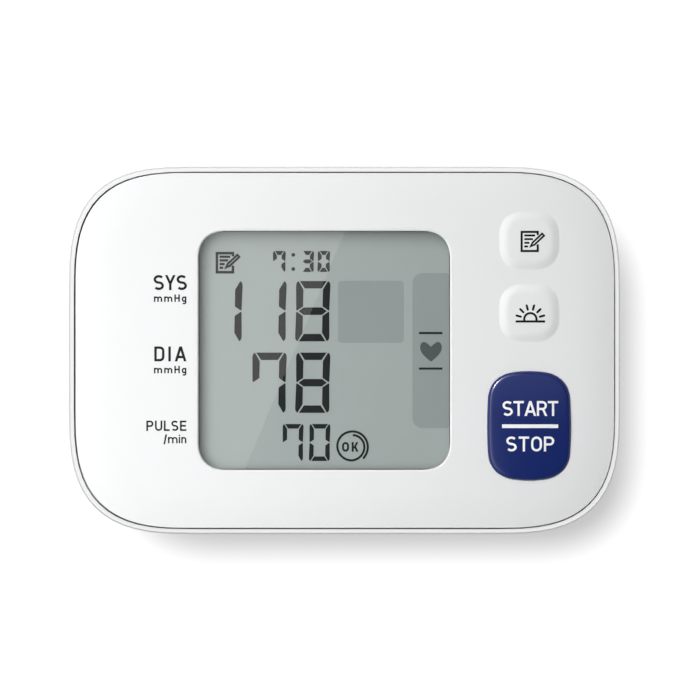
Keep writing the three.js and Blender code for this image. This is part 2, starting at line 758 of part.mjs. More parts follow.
// Air pump: motor, shaft with eccentric, head and cradle
const motor = cut(pinX(pumpX, pumpX + motorLength, pumpY, airZ, pumpRadius),
  pinX(pumpX + motorLength / 2, pumpX + motorLength + fit, pumpY, airZ, shaftRadius + fit));
piece(monitor, "pump_motor", motor, 0xb9bcc0, 0.3, 1);
const cavity = eccentricRadius + eccentricOffset + fit;
const pumpHead = cut(
  join(
    box(headX, pumpEnd, pumpY - pumpRadius, pumpY + pumpRadius, airZ - pumpRadius, airZ + pumpRadius),
    pinX(pumpEnd - seat, pumpEnd + nozzleLength, pumpY, airZ, nozzleRadius, portSteps),
  ),
  pinX(headX - fit, headX + eccentricWidth + 3 * fit, pumpY, airZ, cavity),
);
piece(monitor, "pump_head", pumpHead, 0x2d2f33, 0.5);
const shaft = join(
  pinX(pumpX + motorLength / 2 + fit, headX + fit + eccentricWidth, pumpY, airZ, shaftRadius),
  pinX(headX + fit, headX + fit + eccentricWidth, pumpY, airZ + eccentricOffset, eccentricRadius),
);
piece(monitor, "pump_shaft", shaft, 0xc2c5c9, 0.3, 1);
const cradle = cut(
  box(pumpX + fit, pumpX + fit + cradleLength, pumpY - pumpRadius, pumpY + pumpRadius,
    backWall + seat, airZ - fit),
  pinX(pumpX, pumpX + motorLength, pumpY, airZ, pumpRadius + fit, 2 * roundSteps),
);
const cradleLow = box(pumpX, pumpX + motorLength, pumpY - pumpRadius, pumpY + pumpRadius, backWall, airZ / 2);
piece(monitor, "pump_cradle", cradle.intersect(cradleLow), 0x3b3b3d, 0.9);

// Exhaust valve with its plunger
const valveEnd = valveX + valveLength;
const valve = cut(
  join(
    box(valveX, valveEnd, valveY - valveWidth / 2, valveY + valveWidth / 2,
      backWall + seat, airZ + valveWidth / 2),
    pinX(valveEnd - seat, valveEnd + nozzleLength, valveY, airZ, nozzleRadius, portSteps),
  ),
  pinX(valveX - fit, valveX + plungerLength, valveY, airZ, plungerRadius + fit),
);
piece(monitor, "valve_body", valve, 0x8d9298, 0.4, 0.6);
piece(monitor, "valve_plunger", pinX(valveX - plungerOut, valveX - plungerOut + plungerLength, valveY, airZ,
  plungerRadius), 0xc2c5c9, 0.3, 1);

// Pressure sensor under the board, plugged into the air manifold
const half = manifoldSize / 2;
const sensorZ = underBoard - sensorHeight;
const manifoldTop = sensorZ - fit;
const port = (way) => pinY(manifoldX, nippleY + Math.min(0, way) * (half + nozzleLength),
  nippleY + Math.max(0, way) * (half + nozzleLength), airZ, nozzleRadius, portSteps);
const manifold = cut(
  join(
    box(manifoldX - half, manifoldX + half, nippleY - half, nippleY + half, backWall + seat, manifoldTop),
    pinX(manifoldX - half - nozzleLength, manifoldX, nippleY, airZ, nozzleRadius, portSteps),
    port(1),
    port(-1),
  ),
  pin(manifoldX, nippleY, manifoldTop - nozzleLength, manifoldTop + seat, nozzleRadius + fit),
);
piece(monitor, "air_manifold", manifold, 0xd9d9d4, 0.5);
const sensor = join(
  box(manifoldX - sensorSize / 2, manifoldX + sensorSize / 2,
    nippleY - sensorSize / 2, nippleY + sensorSize / 2, sensorZ, underBoard),
  pin(manifoldX, nippleY, manifoldTop - nozzleLength + fit, sensorZ + seat, nozzleRadius, portSteps),
);
piece(monitor, "pressure_sensor", sensor, 0x2a2a2d, 0.5);

// Hoses
const [alongX, alongY, alongZ] = [
  new THREE.Vector3(1, 0, 0),
  new THREE.Vector3(0, 1, 0),
  new THREE.Vector3(0, 0, 1),
];
const spot = (x, y, z) => new THREE.Vector3(x, y, z);
const hoseGap = half + fit;
piece(monitor, "pump_hose", hose(spot(pumpEnd + fit, pumpY, airZ), alongX,
  spot(manifoldX, nippleY + hoseGap, airZ), alongY.clone().negate()), 0xd8d6cf, 0.6);
piece(monitor, "valve_hose", hose(spot(valveEnd + fit, valveY, airZ), alongX,
  spot(manifoldX, nippleY - hoseGap, airZ), alongY), 0xd8d6cf, 0.6);
const nippleFoot = -cuffSeat - curlerIn - curlerThickness;
const hoseFoot = backWall + fit;
piece(monitor, "cuff_hose", hose(spot(cuffX, nippleY, hoseFoot), alongZ,
  spot(manifoldX - hoseGap, nippleY, airZ), alongX), 0xd8d6cf, 0.6);
const nippleTop = airZ - hoseBend - seat;
const nipple = turned([
  [nippleBore, nippleFoot],
  [nippleFlange, nippleFoot],
  [nippleFlange, nippleFoot + curlerThickness],
  [nozzleRadius, nippleFoot + curlerThickness],
  [nozzleRadius, nippleTop],
  [nippleBore, nippleTop],
  [nippleBore, nippleFoot],
]);
piece(monitor, "bladder_nipple", nipple, 0xe4e2dc, 0.5, 0, [cuffX, nippleY, 0]);

// Cuff loop: the outer face runs from the flap's hinge over the top, down the far side, along the
// flat bottom and up inside the flap
function arc(centreY, centreZ, radius, from, to) {
  const points = [];
  for (let i = 0; i <= cornerSteps; i++) {
    const angle = ((from + ((to - from) * i) / cornerSteps) * Math.PI) / 180;
    points.push(new THREE.Vector2(centreY + radius * Math.cos(angle), centreZ + radius * Math.sin(angle)));
  }
  return points;
}

function farSide(inset) {
  return [
    ...arc(loopHalf - loopCorner, bandTop - loopCorner, loopCorner - inset, 90, 0),
    ...arc(loopHalf - loopCorner, loopCorner, loopCorner - inset, 0, -90),
  ];
}

function curlerPath(inset) {
  return [
    ...arc(-loopHalf + loopCorner, bandTop - loopCorner, loopCorner - inset, 180, 90),
    ...farSide(inset),
    ...arc(-lapHalf + lapCorner, lapCorner, lapCorner - inset, -90, -180),
  ];
}

// The cloth also runs down to the hinge and up the lap; hem keeps its ends short of those places.
function clothPath(inset, hem = 0) {
  return [
    new THREE.Vector2(-loopHalf + inset, hingeZ + foldGap / 2 + hem),
    ...curlerPath(inset),
    new THREE.Vector2(-lapHalf + inset, lapTop - hem),
  ];
}

function bladderPath(inset) {
  return [
    new THREE.Vector2(-loopHalf + loopCorner, bandTop - inset),
    ...farSide(inset),
    new THREE.Vector2(-lapHalf + lapCorner, inset),
  ];
}

function layer(path, from, thickness, x0, x1, hem = 0) {
  return bandX([...path(from, hem), ...path(from + thickness, hem).reverse()], x0, x1);
}

const cuffLeft = cuffX - cuffWidth / 2;
const cuffRight = cuffX + cuffWidth / 2;
const inside = (path, from, thickness, margin, hem) =>
  layer(path, from, thickness, cuffLeft + margin, cuffRight - margin, hem);
const liningHem = clothThickness + layerGap;

// The outer cloth is turned in along the edges and ends of the cuff.
function turnedIn() {
  const hemBox = (y, z) => box(cuffLeft, cuffRight, y, y + cuffThickness, z, z + clothThickness);
  return join(
    layer(clothPath, 0, clothThickness, cuffLeft, cuffRight),
    layer(clothPath, 0, cuffThickness, cuffLeft, cuffLeft + clothThickness),
    layer(clothPath, 0, cuffThickness, cuffRight - clothThickness, cuffRight),
    hemBox(-loopHalf, hingeZ + foldGap / 2),
    hemBox(-lapHalf, lapTop - clothThickness),
  );
}

const railCuts = railXs.map((x) => box(x - railWidth / 2 - fit, x + railWidth / 2 + fit,
  -railHalf - fit, railHalf + fit, bandTop - curlerIn, bandTop + cuffSeat));
const outerCloth = cut(turnedIn(), ...railCuts,
  pin(cuffX, nippleY, bandTop - curlerIn, bandTop + cuffSeat, nozzleRadius + fit));
piece(cuff, "cuff_outer_cloth", outerCloth, 0x53565b, 0.95);
const curlerTools = [
  ...cuffScrews.map(([x, y]) => pin(x, y, bandTop - bladderIn, bandTop, pilot)),
  pin(cuffX, nippleY, bandTop - bladderIn, bandTop, nippleFlange + fit),
];
piece(cuff, "cuff_curler", cut(inside(curlerPath, curlerIn, curlerThickness, curlerMargin), ...curlerTools),
  0xdfe0e0, 0.5);
piece(cuff, "air_bladder", inside(bladderPath, bladderIn, bladderThickness, bladderMargin), 0x8a8f96, 0.7);
const lining = inside(clothPath, liningIn, clothThickness, liningHem, liningHem);
piece(cuff, "cuff_inner_cloth", lining, 0x6a6d72, 0.95);
cuffScrews.forEach(([x, y], i) => {
  const place = [x, y, bandTop - curlerIn - curlerThickness - seat];
  piece(cuff, `cuff_screw_${i + 1}`, screw(cuffScrewLength), 0xb8bcc0, 0.3, 1, place);
});

// Flap that closes the loop, and the pull tab with the hook tape at its end
const flapLayer = (from, to, z0, z1, margin = 0) =>
  box(cuffLeft + margin, cuffRight - margin, -loopHalf + from, -loopHalf + to, z0, z1);

function flapCloth(z0, z1) {
  const [low, high] = [z0 + clothThickness, z1 - clothThickness];
  const inside = flapLayer(clothThickness, hookTo + fit, low, high, clothThickness);
  return cut(flapLayer(0, hookTo, z0, z1), inside);
}

const flapTop = hingeZ - foldGap / 2;
const flapEnd = foldZ + foldGap / 2;
const tabTop = foldZ - foldGap / 2;
const [flapLow, flapHigh] = [flapEnd + liningHem, flapTop - liningHem];
piece(cuff, "flap_outer_cloth", flapCloth(flapEnd, flapTop), 0x53565b, 0.95);
const stiffener = flapLayer(stiffenerIn, stiffenerIn + stiffenerThickness, flapLow, flapHigh, liningHem);
piece(cuff, "flap_stiffener", stiffener, 0xd9dadb, 0.5);
const flapLining = flapLayer(flapLiningIn, hookTo, flapLow, flapHigh, liningHem);
piece(cuff, "flap_inner_cloth", flapLining, 0x6a6d72, 0.95);
piece(cuff, "tab_cloth", flapCloth(tabEnd, tabTop), 0x53565b, 0.95);
const hookTape = flapLayer(hookIn, hookTo, tabEnd + liningHem, tabTop - liningHem, liningHem);
piece(cuff, "hook_tape", hookTape, 0x3c3e42, 1);

export default part;
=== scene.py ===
import math
import bmesh
import bpy
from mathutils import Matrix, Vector
from mathutils.geometry import delaunay_2d_cdt


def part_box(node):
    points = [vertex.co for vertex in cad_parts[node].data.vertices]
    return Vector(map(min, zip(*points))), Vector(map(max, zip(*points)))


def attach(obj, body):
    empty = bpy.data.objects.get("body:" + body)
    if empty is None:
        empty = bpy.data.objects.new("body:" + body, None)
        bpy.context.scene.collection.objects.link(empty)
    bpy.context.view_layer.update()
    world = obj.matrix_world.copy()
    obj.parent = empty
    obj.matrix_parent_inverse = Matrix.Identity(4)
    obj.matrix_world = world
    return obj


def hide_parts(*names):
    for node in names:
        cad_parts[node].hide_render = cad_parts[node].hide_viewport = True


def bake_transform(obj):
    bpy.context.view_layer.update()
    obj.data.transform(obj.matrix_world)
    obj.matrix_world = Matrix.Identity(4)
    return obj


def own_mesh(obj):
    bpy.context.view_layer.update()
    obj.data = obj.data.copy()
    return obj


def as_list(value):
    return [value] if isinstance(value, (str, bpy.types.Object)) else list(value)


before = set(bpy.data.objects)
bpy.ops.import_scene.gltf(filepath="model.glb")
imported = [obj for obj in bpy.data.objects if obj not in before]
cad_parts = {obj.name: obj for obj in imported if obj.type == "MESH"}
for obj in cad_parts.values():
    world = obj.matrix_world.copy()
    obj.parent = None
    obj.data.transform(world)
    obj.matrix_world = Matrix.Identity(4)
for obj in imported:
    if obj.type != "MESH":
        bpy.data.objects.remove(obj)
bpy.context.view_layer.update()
scene = bpy.context.scene

# All lengths below are in millimetres, in the frame's axes, unless a name says otherwise
MM = 0.001
WELD, TOUCH, SAME = 0.004, 1e-5, 1e-6


def corners(node):
    """Lowest and highest corner of a node's box."""
    low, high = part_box(node)
    return low / MM, high / MM


def middle(low, high):
    """The middle of a box, seen from above."""
    return ((low.x + high.x) / 2, (low.y + high.y) / 2)


def anchor(spot, height):
    """A point in metres from a flat place and a height."""
    return (spot[0] * MM, spot[1] * MM, height * MM)


# Case and face
_, case_high = corners("back_case")
_, cover_high = corners("front_cover")
CASE_X, CASE_Y = case_high.x, case_high.y
RIM_TOP, FACE = case_high.z, cover_high.z
CASE_REACH, CASE_POWER = 20.4, 2.94
COVER_REACH, COVER_ROUND = 0.05, 0.12
COVER_INSET = CASE_X - cover_high.x - COVER_REACH
COVER_SHIFT, COVER_TRIM = 0.08, 0.02
COVER_WALL, COVER_SKIRT = 0.85, 1.6
CROWN_WIDTH, CROWN_DROP = 6.3, 0.45
CROWN_STEPS = (0, 0.12, 0.26, 0.42, 0.6, 0.8, 1)

# Window and display
lens_low, lens_high = corners("display_lens")
LENS_MARGIN, LENS_CLEAR = 1.3, 0.05
WINDOW = middle(lens_low, lens_high)
WINDOW_X = (lens_high.x - lens_low.x) / 2 - LENS_MARGIN
WINDOW_Y = (lens_high.y - lens_low.y) / 2 - LENS_MARGIN
WINDOW_REACH, WINDOW_POWER, WINDOW_ROUND = 4.6, 2.4, 0.3
_, lcd_high = corners("lcd_panel")
LCD_TOP = lcd_high.z

# START key and the holes for the keys
start_low, start_high = corners("start_button")
START_FLANGE, FLANGE_HEIGHT = 0.7, 0.8
START = middle(start_low, start_high)
START_X = (start_high.x - start_low.x) / 2 - START_FLANGE
START_Y = (start_high.y - start_low.y) / 2 - START_FLANGE
START_REACH, START_POWER, START_BOW = 4.5, 3.0, (0.35, 1.18)
START_SINK, START_ROUND, START_DOME, START_GAP, START_EDGE = 0.35, 0.5, 0.35, 0.04, 0.06
START_RINGS = (0.94, 0.86, 0.75, 0.6, 0.45, 0.3, 0.15)
KEY_EDGE, KEY_GAP, GUARD = 0.1, 0.3, 0.2

# White keys with their pads and domes
memory_low, memory_high = corners("memory_membrane")
MEMORY = middle(memory_low, memory_high)
MORNING = middle(*corners("morning_membrane"))
KEY_REACH, KEY_POWER = 2.4, 3.0
PAD_MARGIN, PAD_SPREAD = 1.3, 0.14
PAD_REACH, PAD_POWER = 2.7, 2.25
PAD_X = (memory_high.x - memory_low.x) / 2 - PAD_MARGIN
PAD_Y = (memory_high.y - memory_low.y) / 2 - PAD_MARGIN
PAD_HEIGHT, PAD_DOME, PAD_INSET, PAD_SKIN, PAD_SWELL = 0.42, 0.04, 0.7, 0.15, 1.5
PAD_FOOT, PAD_BED, PAD_KEEP = FACE - 0.02, FACE - 0.06, 0.12
PAD_TOP = PAD_FOOT + PAD_HEIGHT + PAD_DOME
PAD_STEPS, PAD_RINGS = 14, (0.8, 0.6, 0.4, 0.2)
DOME_FOOT, DOME_WALL, DOME_SHOULDER, DOME_CROWN, DOME_EYE = 0.35, 0.4, 0.6, 0.72, 0.05

# Cuff
cuff_low, cuff_high = corners("cuff_outer_cloth")
flap_low, flap_high = corners("flap_outer_cloth")
_, lining_high = corners("flap_inner_cloth")
tab_low, tab_high = corners("tab_cloth")
hook_low, hook_high = corners("hook_tape")
CUFF_X = (cuff_low.x + cuff_high.x) / 2
CUFF_HALF = (cuff_high.x - cuff_low.x) / 2
CUFF_Y, CUFF_TOP = cuff_high.y, cuff_high.z
CUFF_THICK, CUFF_BEND = 5.5, 14.0
EDGE_ROUND, FLAP_ROUND = 2.2, 1.3
HINGE_END, LAP_Y, LAP_BEND, LAP_TOP, LAP_END = 45.2, 24.5, 9.0, 22.0, 2.0
LINING_EDGE, LINING_THICK, LINING_PROUD, LINING_ROUND, LINING_SHORT = 4.4, 0.5, 0.12, 0.3, 2.0
STRAP_STEPS, STRAP_END = 30, 0.3
BINDING_WIDTH, BINDING_THICK, BINDING_FOLD = 5.2, 0.45, 0.2
BINDING_BITE, BINDING_SINK = BINDING_THICK * 0.8, BINDING_THICK * 0.6
FLAP_EDGE, FLAP_END = 0.35, 1.2
PUCKER_INSET, PUCKER_REACH, PUCKER_RATE = 4.5, 3.5, 0.95
TAB_CORNER, TAB_SEAM, TAB_ENDS, HOOK_ROUND = 7.0, 3.2, (0.8, 0.5), 0.4
TAPE_THICK, TAPE_EDGE, TAPE_SINK, TAPE_RUN, FOLD_RUN = 0.6, 0.4, 0.03, 9.0, 5.0
SEAM_INSET, TAPE_SEAM, TAPE_ROW_END = 1.0, 1.3, 1.5
STITCH_PITCH, STITCH_LENGTH, STITCH_RADIUS, STITCH_SINK = 2.6, 1.7, 0.2, 1.2
STITCH_FORM = ((-1.0, 0.25), (-0.8, 0.75), (-0.4, 1.0), (0.4, 1.0), (0.8, 0.75), (1.0, 0.25))

# Angles in degrees past which an edge is sharp
CAD_SPLIT, PRINT_SPLIT, SPLIT, KEY_SPLIT, SOFT_SPLIT, ROUND_SPLIT = 28.0, 30.0, 35.0, 40.0, 50.0, 60.0


# Meshes

class Shape:
    """Points in millimetres, the faces between them and a place on the cloth for each point."""

    def __init__(self):
        self.points, self.faces, self.places = [], [], []

    def add(self, points, faces, places=None):
        start = len(self.points)
        self.points += [tuple(p) for p in points]
        self.faces += [[start + i for i in face] for face in faces]
        self.places += places if places else [(0.0, 0.0)] * len(points)

    def loft(self, rings, capped=False, places=None):
        """Faces between closed rings of the same number of points, with end caps where asked."""
        count = len(rings[0])
        faces = []
        for ring in range(len(rings) - 1):
            for i in range(count):
                a = ring * count + i
                b = ring * count + (i + 1) % count
                faces.append((a, b, b + count, a + count))
        if capped:
            last = (len(rings) - 1) * count
            faces.append(tuple(reversed(range(count))))
            faces.append(tuple(range(last, last + count)))
        self.add([p for ring in rings for p in ring], faces, places)


def add_object(name, data):
    obj = bpy.data.objects.new(name, data)
    scene.collection.objects.link(obj)
    return obj


def build(name, shape, material, body=None, split=SPLIT, face_up=False):
    """An object from a shape, welded, with its faces outward and its edges sharp where they turn far."""
    mesh = bpy.data.meshes.new(name)
    mesh.from_pydata([[c * MM for c in p] for p in shape.points], [], shape.faces)
    layer = mesh.uv_layers.new(name="cloth")
    for loop in mesh.loops:
        layer.data[loop.index].uv = shape.places[loop.vertex_index]
    work = bmesh.new()
    work.from_mesh(mesh)
    bmesh.ops.remove_doubles(work, verts=work.verts, dist=WELD * MM)
    bmesh.ops.recalc_face_normals(work, faces=work.faces)
    if face_up and sum(f.normal.z * f.calc_area() for f in work.faces) < 0:
        bmesh.ops.reverse_faces(work, faces=work.faces)
    work.to_mesh(mesh)
    work.free()
    mesh.shade_smooth()
    mesh.set_sharp_from_angle(angle=math.radians(split))
    mesh.materials.append(material)
    obj = add_object(name, mesh)
    if body:
        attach(obj, body)
    return obj


def quarter(steps):
    """Sines and cosines of a quarter turn."""
    turns = [math.pi / 2 * i / steps for i in range(steps + 1)]
    return [(math.sin(a), math.cos(a)) for a in turns]


def outline(half_x, half_y, reach, power, centre=(0.0, 0.0), bow=(0.0, 0.0), steps=20, side_steps=6):
    """Points round a rectangle with squarish corners, whose sides fall away by bow towards their ends."""
    raw = []
    for way_x, way_y in ((1, 1), (-1, 1), (-1, -1), (1, -1)):
        corner = []
        for s, c in quarter(steps):
            far = reach * (c ** power + s ** power) ** (-1 / power)
            corner.append((way_x * (half_x - reach + far * c), way_y * (half_y - reach + far * s)))
        raw.append(corner if way_x == way_y else corner[::-1])
    points = []
    for corner, following in zip(raw, raw[1:] + raw[:1]):
        points += corner
        (x0, y0), (x1, y1) = corner[-1], following[0]
        for step in range(1, side_steps):
            t = step / side_steps
            points.append((x0 + (x1 - x0) * t, y0 + (y1 - y0) * t))
    return [
        (
            centre[0] + x * (1 - bow[0] / half_x * (y / half_y) ** 2),
            centre[1] + y * (1 - bow[1] / half_y * (x / half_x) ** 2),
        )
        for x, y in points
    ]


def lifted(points, height):
    """Flat points raised to a height, which is a number or a function of x and y."""
    return [(x, y, height(x, y) if callable(height) else height) for x, y in points]


def scaled(points, centre, factor):
    return [(centre[0] + (x - centre[0]) * factor, centre[1] + (y - centre[1]) * factor) for x, y in points]


def inside(x, y, loop):
    """Whether a flat point lies inside a closed loop."""
    found = False
    for (x0, y0), (x1, y1) in zip(loop, loop[1:] + loop[:1]):
        if (y0 > y) != (y1 > y) and x < x0 + (y - y0) / (y1 - y0) * (x1 - x0):
            found = not found
    return found


# Print, symbols and lettering
MITRE = 0.4
PENCIL_TIP, PENCIL_TILT = (1.62, 0.84), 43.3
DAWN_RISE, DAWN_LINE, DAWN_RAYS = 0.36, 2.4, (1.62, 2.32)
HEART_STEPS = 60
WRAP_STEPS, WRAP_START, WRAP_TURN = 80, 80, 485
SEGMENTS = {"0": "abcdef", "1": "bc", "3": "abcdg", "7": "abcf", "8": "abcdefg"}
FIGURE_LEAN = 0.02


def stroke(path, width, closed=False, rounded=False):
    """Flat polygons of a line of even width, mitred where it turns."""
    count = len(path)
    left, right = [], []
    for i, (x, y) in enumerate(path):
        before = path[i - 1] if i or closed else None
        after = path[(i + 1) % count] if i < count - 1 or closed else None
        ways = []
        for a, b in ((before, (x, y)), ((x, y), after)):
            if a and b:
                ways.append(Vector((b[0] - a[0], b[1] - a[1])).normalized())
        way = sum(ways, Vector((0.0, 0.0))).normalized()
        reach = width / 2 / max(way.dot(ways[0]), MITRE)
        left.append((x - way.y * reach, y + way.x * reach))
        right.append((x + way.y * reach, y - way.x * reach))
    polygons = []
    for i in range(count if closed else count - 1):
        j = (i + 1) % count
        polygons.append([right[i], right[j], left[j], left[i]])
    if rounded:
        polygons += [disc(x, y, width / 2) for x, y in (path[0], path[-1])]
    return polygons


def bearings(start, end, steps):
    """Flat directions at even turns from one angle to another, in degrees."""
    turns = [math.radians(start + (end - start) * i / steps) for i in range(steps + 1)]
    return [(math.cos(a), math.sin(a)) for a in turns]


def arc(x, y, reach_x, reach_y, start, end, steps=12):
    """Points of an arc from one angle to another, in degrees."""
    return [(x + reach_x * c, y + reach_y * s) for c, s in bearings(start, end, steps)]


def disc(x, y, radius, count=24):
    return arc(x, y, radius, radius, 0, 360 - 360 / count, count - 1)


def slant(bottom, top, low, high, width):
    """A sloping bar between two heights, cut level at its ends."""
    return [(bottom, low), (bottom + width, low), (top + width, high), (top, high)]


def letters(weight):
    """Width and polygons of each letter at a height of 1, with strokes of the given weight."""
    h = weight / 2
    top, low = 1 - h, h
    waist, small = 0.47, 0.73
    sloped = weight * 1.06
    post, stem = [(h, 0), (h, 1)], [(h, 0), (h, small)]

    def lines(*paths):
        return [polygon for path in paths for polygon in stroke(path, weight)]

    def bowl(width):
        r = (top - waist) / 2
        turn = width - h - r
        return [(h, top), (turn, top)] + arc(turn, waist + r, r, r, 90, -90)[1:] + [(h, waist)]

    def arch(x, width):
        r = (width - weight) / 2
        return [(x, small - h - r)] + arc(x + r, small - h - r, r, r, 180, 0)[1:] + [(x + 2 * r, 0)]

    def ring(width, below, above):
        r = width / 2 - h
        path = arc(width / 2, above - h - r, r, r, 0, 180) + arc(width / 2, below + h + r, r, r, 180, 360)
        return stroke(path, weight, closed=True)

    s_reach, s_rise = 0.345 - h, (1 - weight) / 4
    s_path = arc(0.345, 0.5 + s_rise, s_reach, s_rise, 35, 270)
    s_path += arc(0.345, 0.5 - s_rise, s_reach, s_rise, 90, -145)[1:]
    a_legs = [slant(foot, 0.395 - sloped / 2, 0, 1, sloped) for foot in (0, 0.79 - sloped)]
    y_arms = [slant(0.35 - sloped / 2, tip, 0.42, 1, sloped) for tip in (0, 0.70 - sloped)]
    k_arms = [slant(weight * 0.7, 0.69 - sloped, 0.34, 1, sloped)]
    k_arms.append(slant(0.70 - sloped, 0.22, 0, 0.56, sloped))
    u_reach = 0.355 - h
    u_path = [(h, 1)] + arc(0.355, low + u_reach, u_reach, u_reach, 180, 360) + [(0.71 - h, 1)]
    d_turn = 0.3 - h
    d_side = 0.68 - h - d_turn
    d_path = [(h, low), (h, top), (d_side, top)]
    d_path += arc(d_side, top - d_turn, d_turn, d_turn, 90, 0)[1:]
    d_path += arc(d_side, low + d_turn, d_turn, d_turn, 0, -90)
    g_tail = [(0.62 - h, small)] + arc(0.31, -0.04, 0.31 - h, 0.2, 0, -140)
    return {
        "S": (0.69, lines(s_path)),
        "T": (0.70, lines([(0, top), (0.70, top)], [(0.35, 0), (0.35, top)])),
        "A": (0.79, a_legs + lines([(0.14, 0.29), (0.65, 0.29)])),
        "R": (0.70, lines(post, bowl(0.68)) + [slant(0.70 - sloped, 0.33, 0, waist, sloped)]),
        "P": (0.69, lines(post, bowl(0.69))),
        "O": (0.72, ring(0.72, 0, 1)),
        "Y": (0.70, y_arms + lines([(0.35, 0), (0.35, 0.47)])),
        "D": (0.68, stroke(d_path, weight, closed=True)),
        "I": (weight, lines(post)),
        "U": (0.71, lines(u_path)),
        "L": (0.57, lines([(h, 1), (h, low), (0.57, low)])),
        "E": (0.62, lines([(0.62, top), (h, top), (h, low), (0.62, low)], [(h, 0.5), (0.57, 0.5)])),
        "H": (0.74, lines(post, [(0.74 - h, 0), (0.74 - h, 1)], [(h, 0.51), (0.74 - h, 0.51)])),
        "K": (0.70, lines(post) + k_arms),
        "m": (1.12, lines(stem, arch(h, 0.56 + h), arch(0.56, 0.56 + h))),
        "n": (0.60, lines(stem, arch(h, 0.60))),
        "i": (weight, lines(stem, [(h, 0.85), (h, 1)])),
        "g": (0.62, ring(0.62, 0, small) + lines(g_tail)),
        "/": (0.40, [slant(0, 0.40 - sloped, -0.12, 1.02, sloped)]),
    }


def words(text, left, right, base, cap, weight):
    """Polygons of a line of letters of a cap height that fills the width from left to right."""
    forms = letters(weight / cap)
    gap = (right - left - cap * sum(forms[c][0] for c in text)) / (len(text) - 1)
    polygons = []
    x = left
    for c in text:
        width, parts = forms[c]
        polygons += [[(x + px * cap, base + py * cap) for px, py in part] for part in parts]
        x += width * cap + gap
    return polygons


def merged(polygons):
    """Points and triangles of the union of flat polygons."""
    points, faces = [], []
    for polygon in polygons:
        area = sum(x0 * y1 - x1 * y0 for (x0, y0), (x1, y1) in zip(polygon, polygon[1:] + polygon[:1]))
        ordered = polygon if area > 0 else polygon[::-1]
        faces.append(list(range(len(points), len(points) + len(ordered))))
        points += [Vector(p) for p in ordered]
    found, _, triangles, _, _, origins = delaunay_2d_cdt(points, [], faces, 1, TOUCH)
    return found, [t for t, origin in zip(triangles, origins) if origin]


def printed(name, polygons, height, lift, material, body):
    """A thin printed layer over flat polygons, laid on a surface of the given height."""
    found, triangles = merged(polygons)
    uses = {}
    for t in triangles:
        for a, b in zip(t, t[1:] + t[:1]):
            uses.setdefault((min(a, b), max(a, b)), []).append((a, b))
    count = len(found)
    flat = [(p.x, p.y) for p in found]
    points = [(x, y, z + lift) for x, y, z in lifted(flat, height)]
    points += [(x, y, z - lift / 2) for x, y, z in lifted(flat, height)]
    faces = [tuple(t) for t in triangles] + [tuple(i + count for i in reversed(t)) for t in triangles]
    for sides in uses.values():
        if len(sides) == 1:
            a, b = sides[0]
            faces.append((a, a + count, b + count, b))
    used = sorted({i for face in faces for i in face})
    order = {old: new for new, old in enumerate(used)}
    shape = Shape()
    shape.add([points[i] for i in used], [[order[i] for i in face] for face in faces])
    return build(name, shape, material, body, split=PRINT_SPLIT)


def digit(value, left, base, width, height, thick):
    """Polygons of a seven segment figure with mitred segments."""
    t, w, h = thick, width, height
    e = 0.085 * t
    half = h / 2
    cut_out, cut_in = 0.42 * t, 1.1 * t
    level = [
        (cut_out + e, half), (w - cut_out - e, half), (w - cut_in - e, half - t), (cut_in + e, half - t),
    ]
    upright = [
        (cut_out - e, half - 0.02 * t),
        (0.17 * t, half - 0.12 * t),
        (0.04 * t, half - 0.33 * t),
        (0, half - 0.7 * t),
        (0.08 * t, 0.06 * t + e),
        (0.2 * t, e),
        (t, 0.56 * t + e),
        (t, half - 1.08 * t - e),
    ]
    centre = [
        (0.4 * t, 0), (1.08 * t, 0.5 * t), (w - 1.08 * t, 0.5 * t),
        (w - 0.4 * t, 0), (w - 1.08 * t, -0.5 * t), (1.08 * t, -0.5 * t),
    ]
    forms = {
        "a": level,
        "d": [(x, -y) for x, y in level],
        "f": upright,
        "b": [(w - x, y) for x, y in upright],
        "e": [(x, -y) for x, y in upright],
        "c": [(w - x, -y) for x, y in upright],
        "g": centre,
    }
    return [[(left + x + FIGURE_LEAN * y, base + half + y) for x, y in forms[s]] for s in SEGMENTS[value]]


def bar(x0, y0, x1, y1, corner=0.0):
    """A flat rectangle, with round corners where asked."""
    if not corner:
        return [(x0, y0), (x1, y0), (x1, y1), (x0, y1)]
    half_x, half_y = (x1 - x0) / 2, (y1 - y0) / 2
    return outline(half_x, half_y, corner, 2.0, centre=(x0 + half_x, y0 + half_y), steps=8, side_steps=1)


def memo_sign(x, y, scale, weight):
    """A page with lines of writing and a pencil across its edge."""

    def spot(px, py):
        return (x + px * scale, y + py * scale)

    page = [(2.85, 1.18), (2.85, 0.0), (0.0, 0.0), (0.0, 3.38), (2.85, 3.38), (2.85, 2.82)]
    polygons = stroke([spot(*p) for p in page], weight)
    for rise, reach in ((2.75, 2.38), (2.1, 2.0), (1.45, 1.38), (0.8, 1.12)):
        polygons += stroke([spot(0.48, rise), spot(reach, rise)], weight * 0.9)
    tilt = math.radians(PENCIL_TILT)
    way, across = Vector((math.cos(tilt), math.sin(tilt))), Vector((-math.sin(tilt), math.cos(tilt)))
    outer = []
    for far, side in ((0.0, 0.0), (0.66, 0.25), (3.0, 0.25), (3.0, -0.25), (0.66, -0.25)):
        p = Vector(PENCIL_TIP) + way * far + across * side
        outer.append(spot(p.x, p.y))
    return polygons + stroke(outer, weight * 0.85, closed=True)


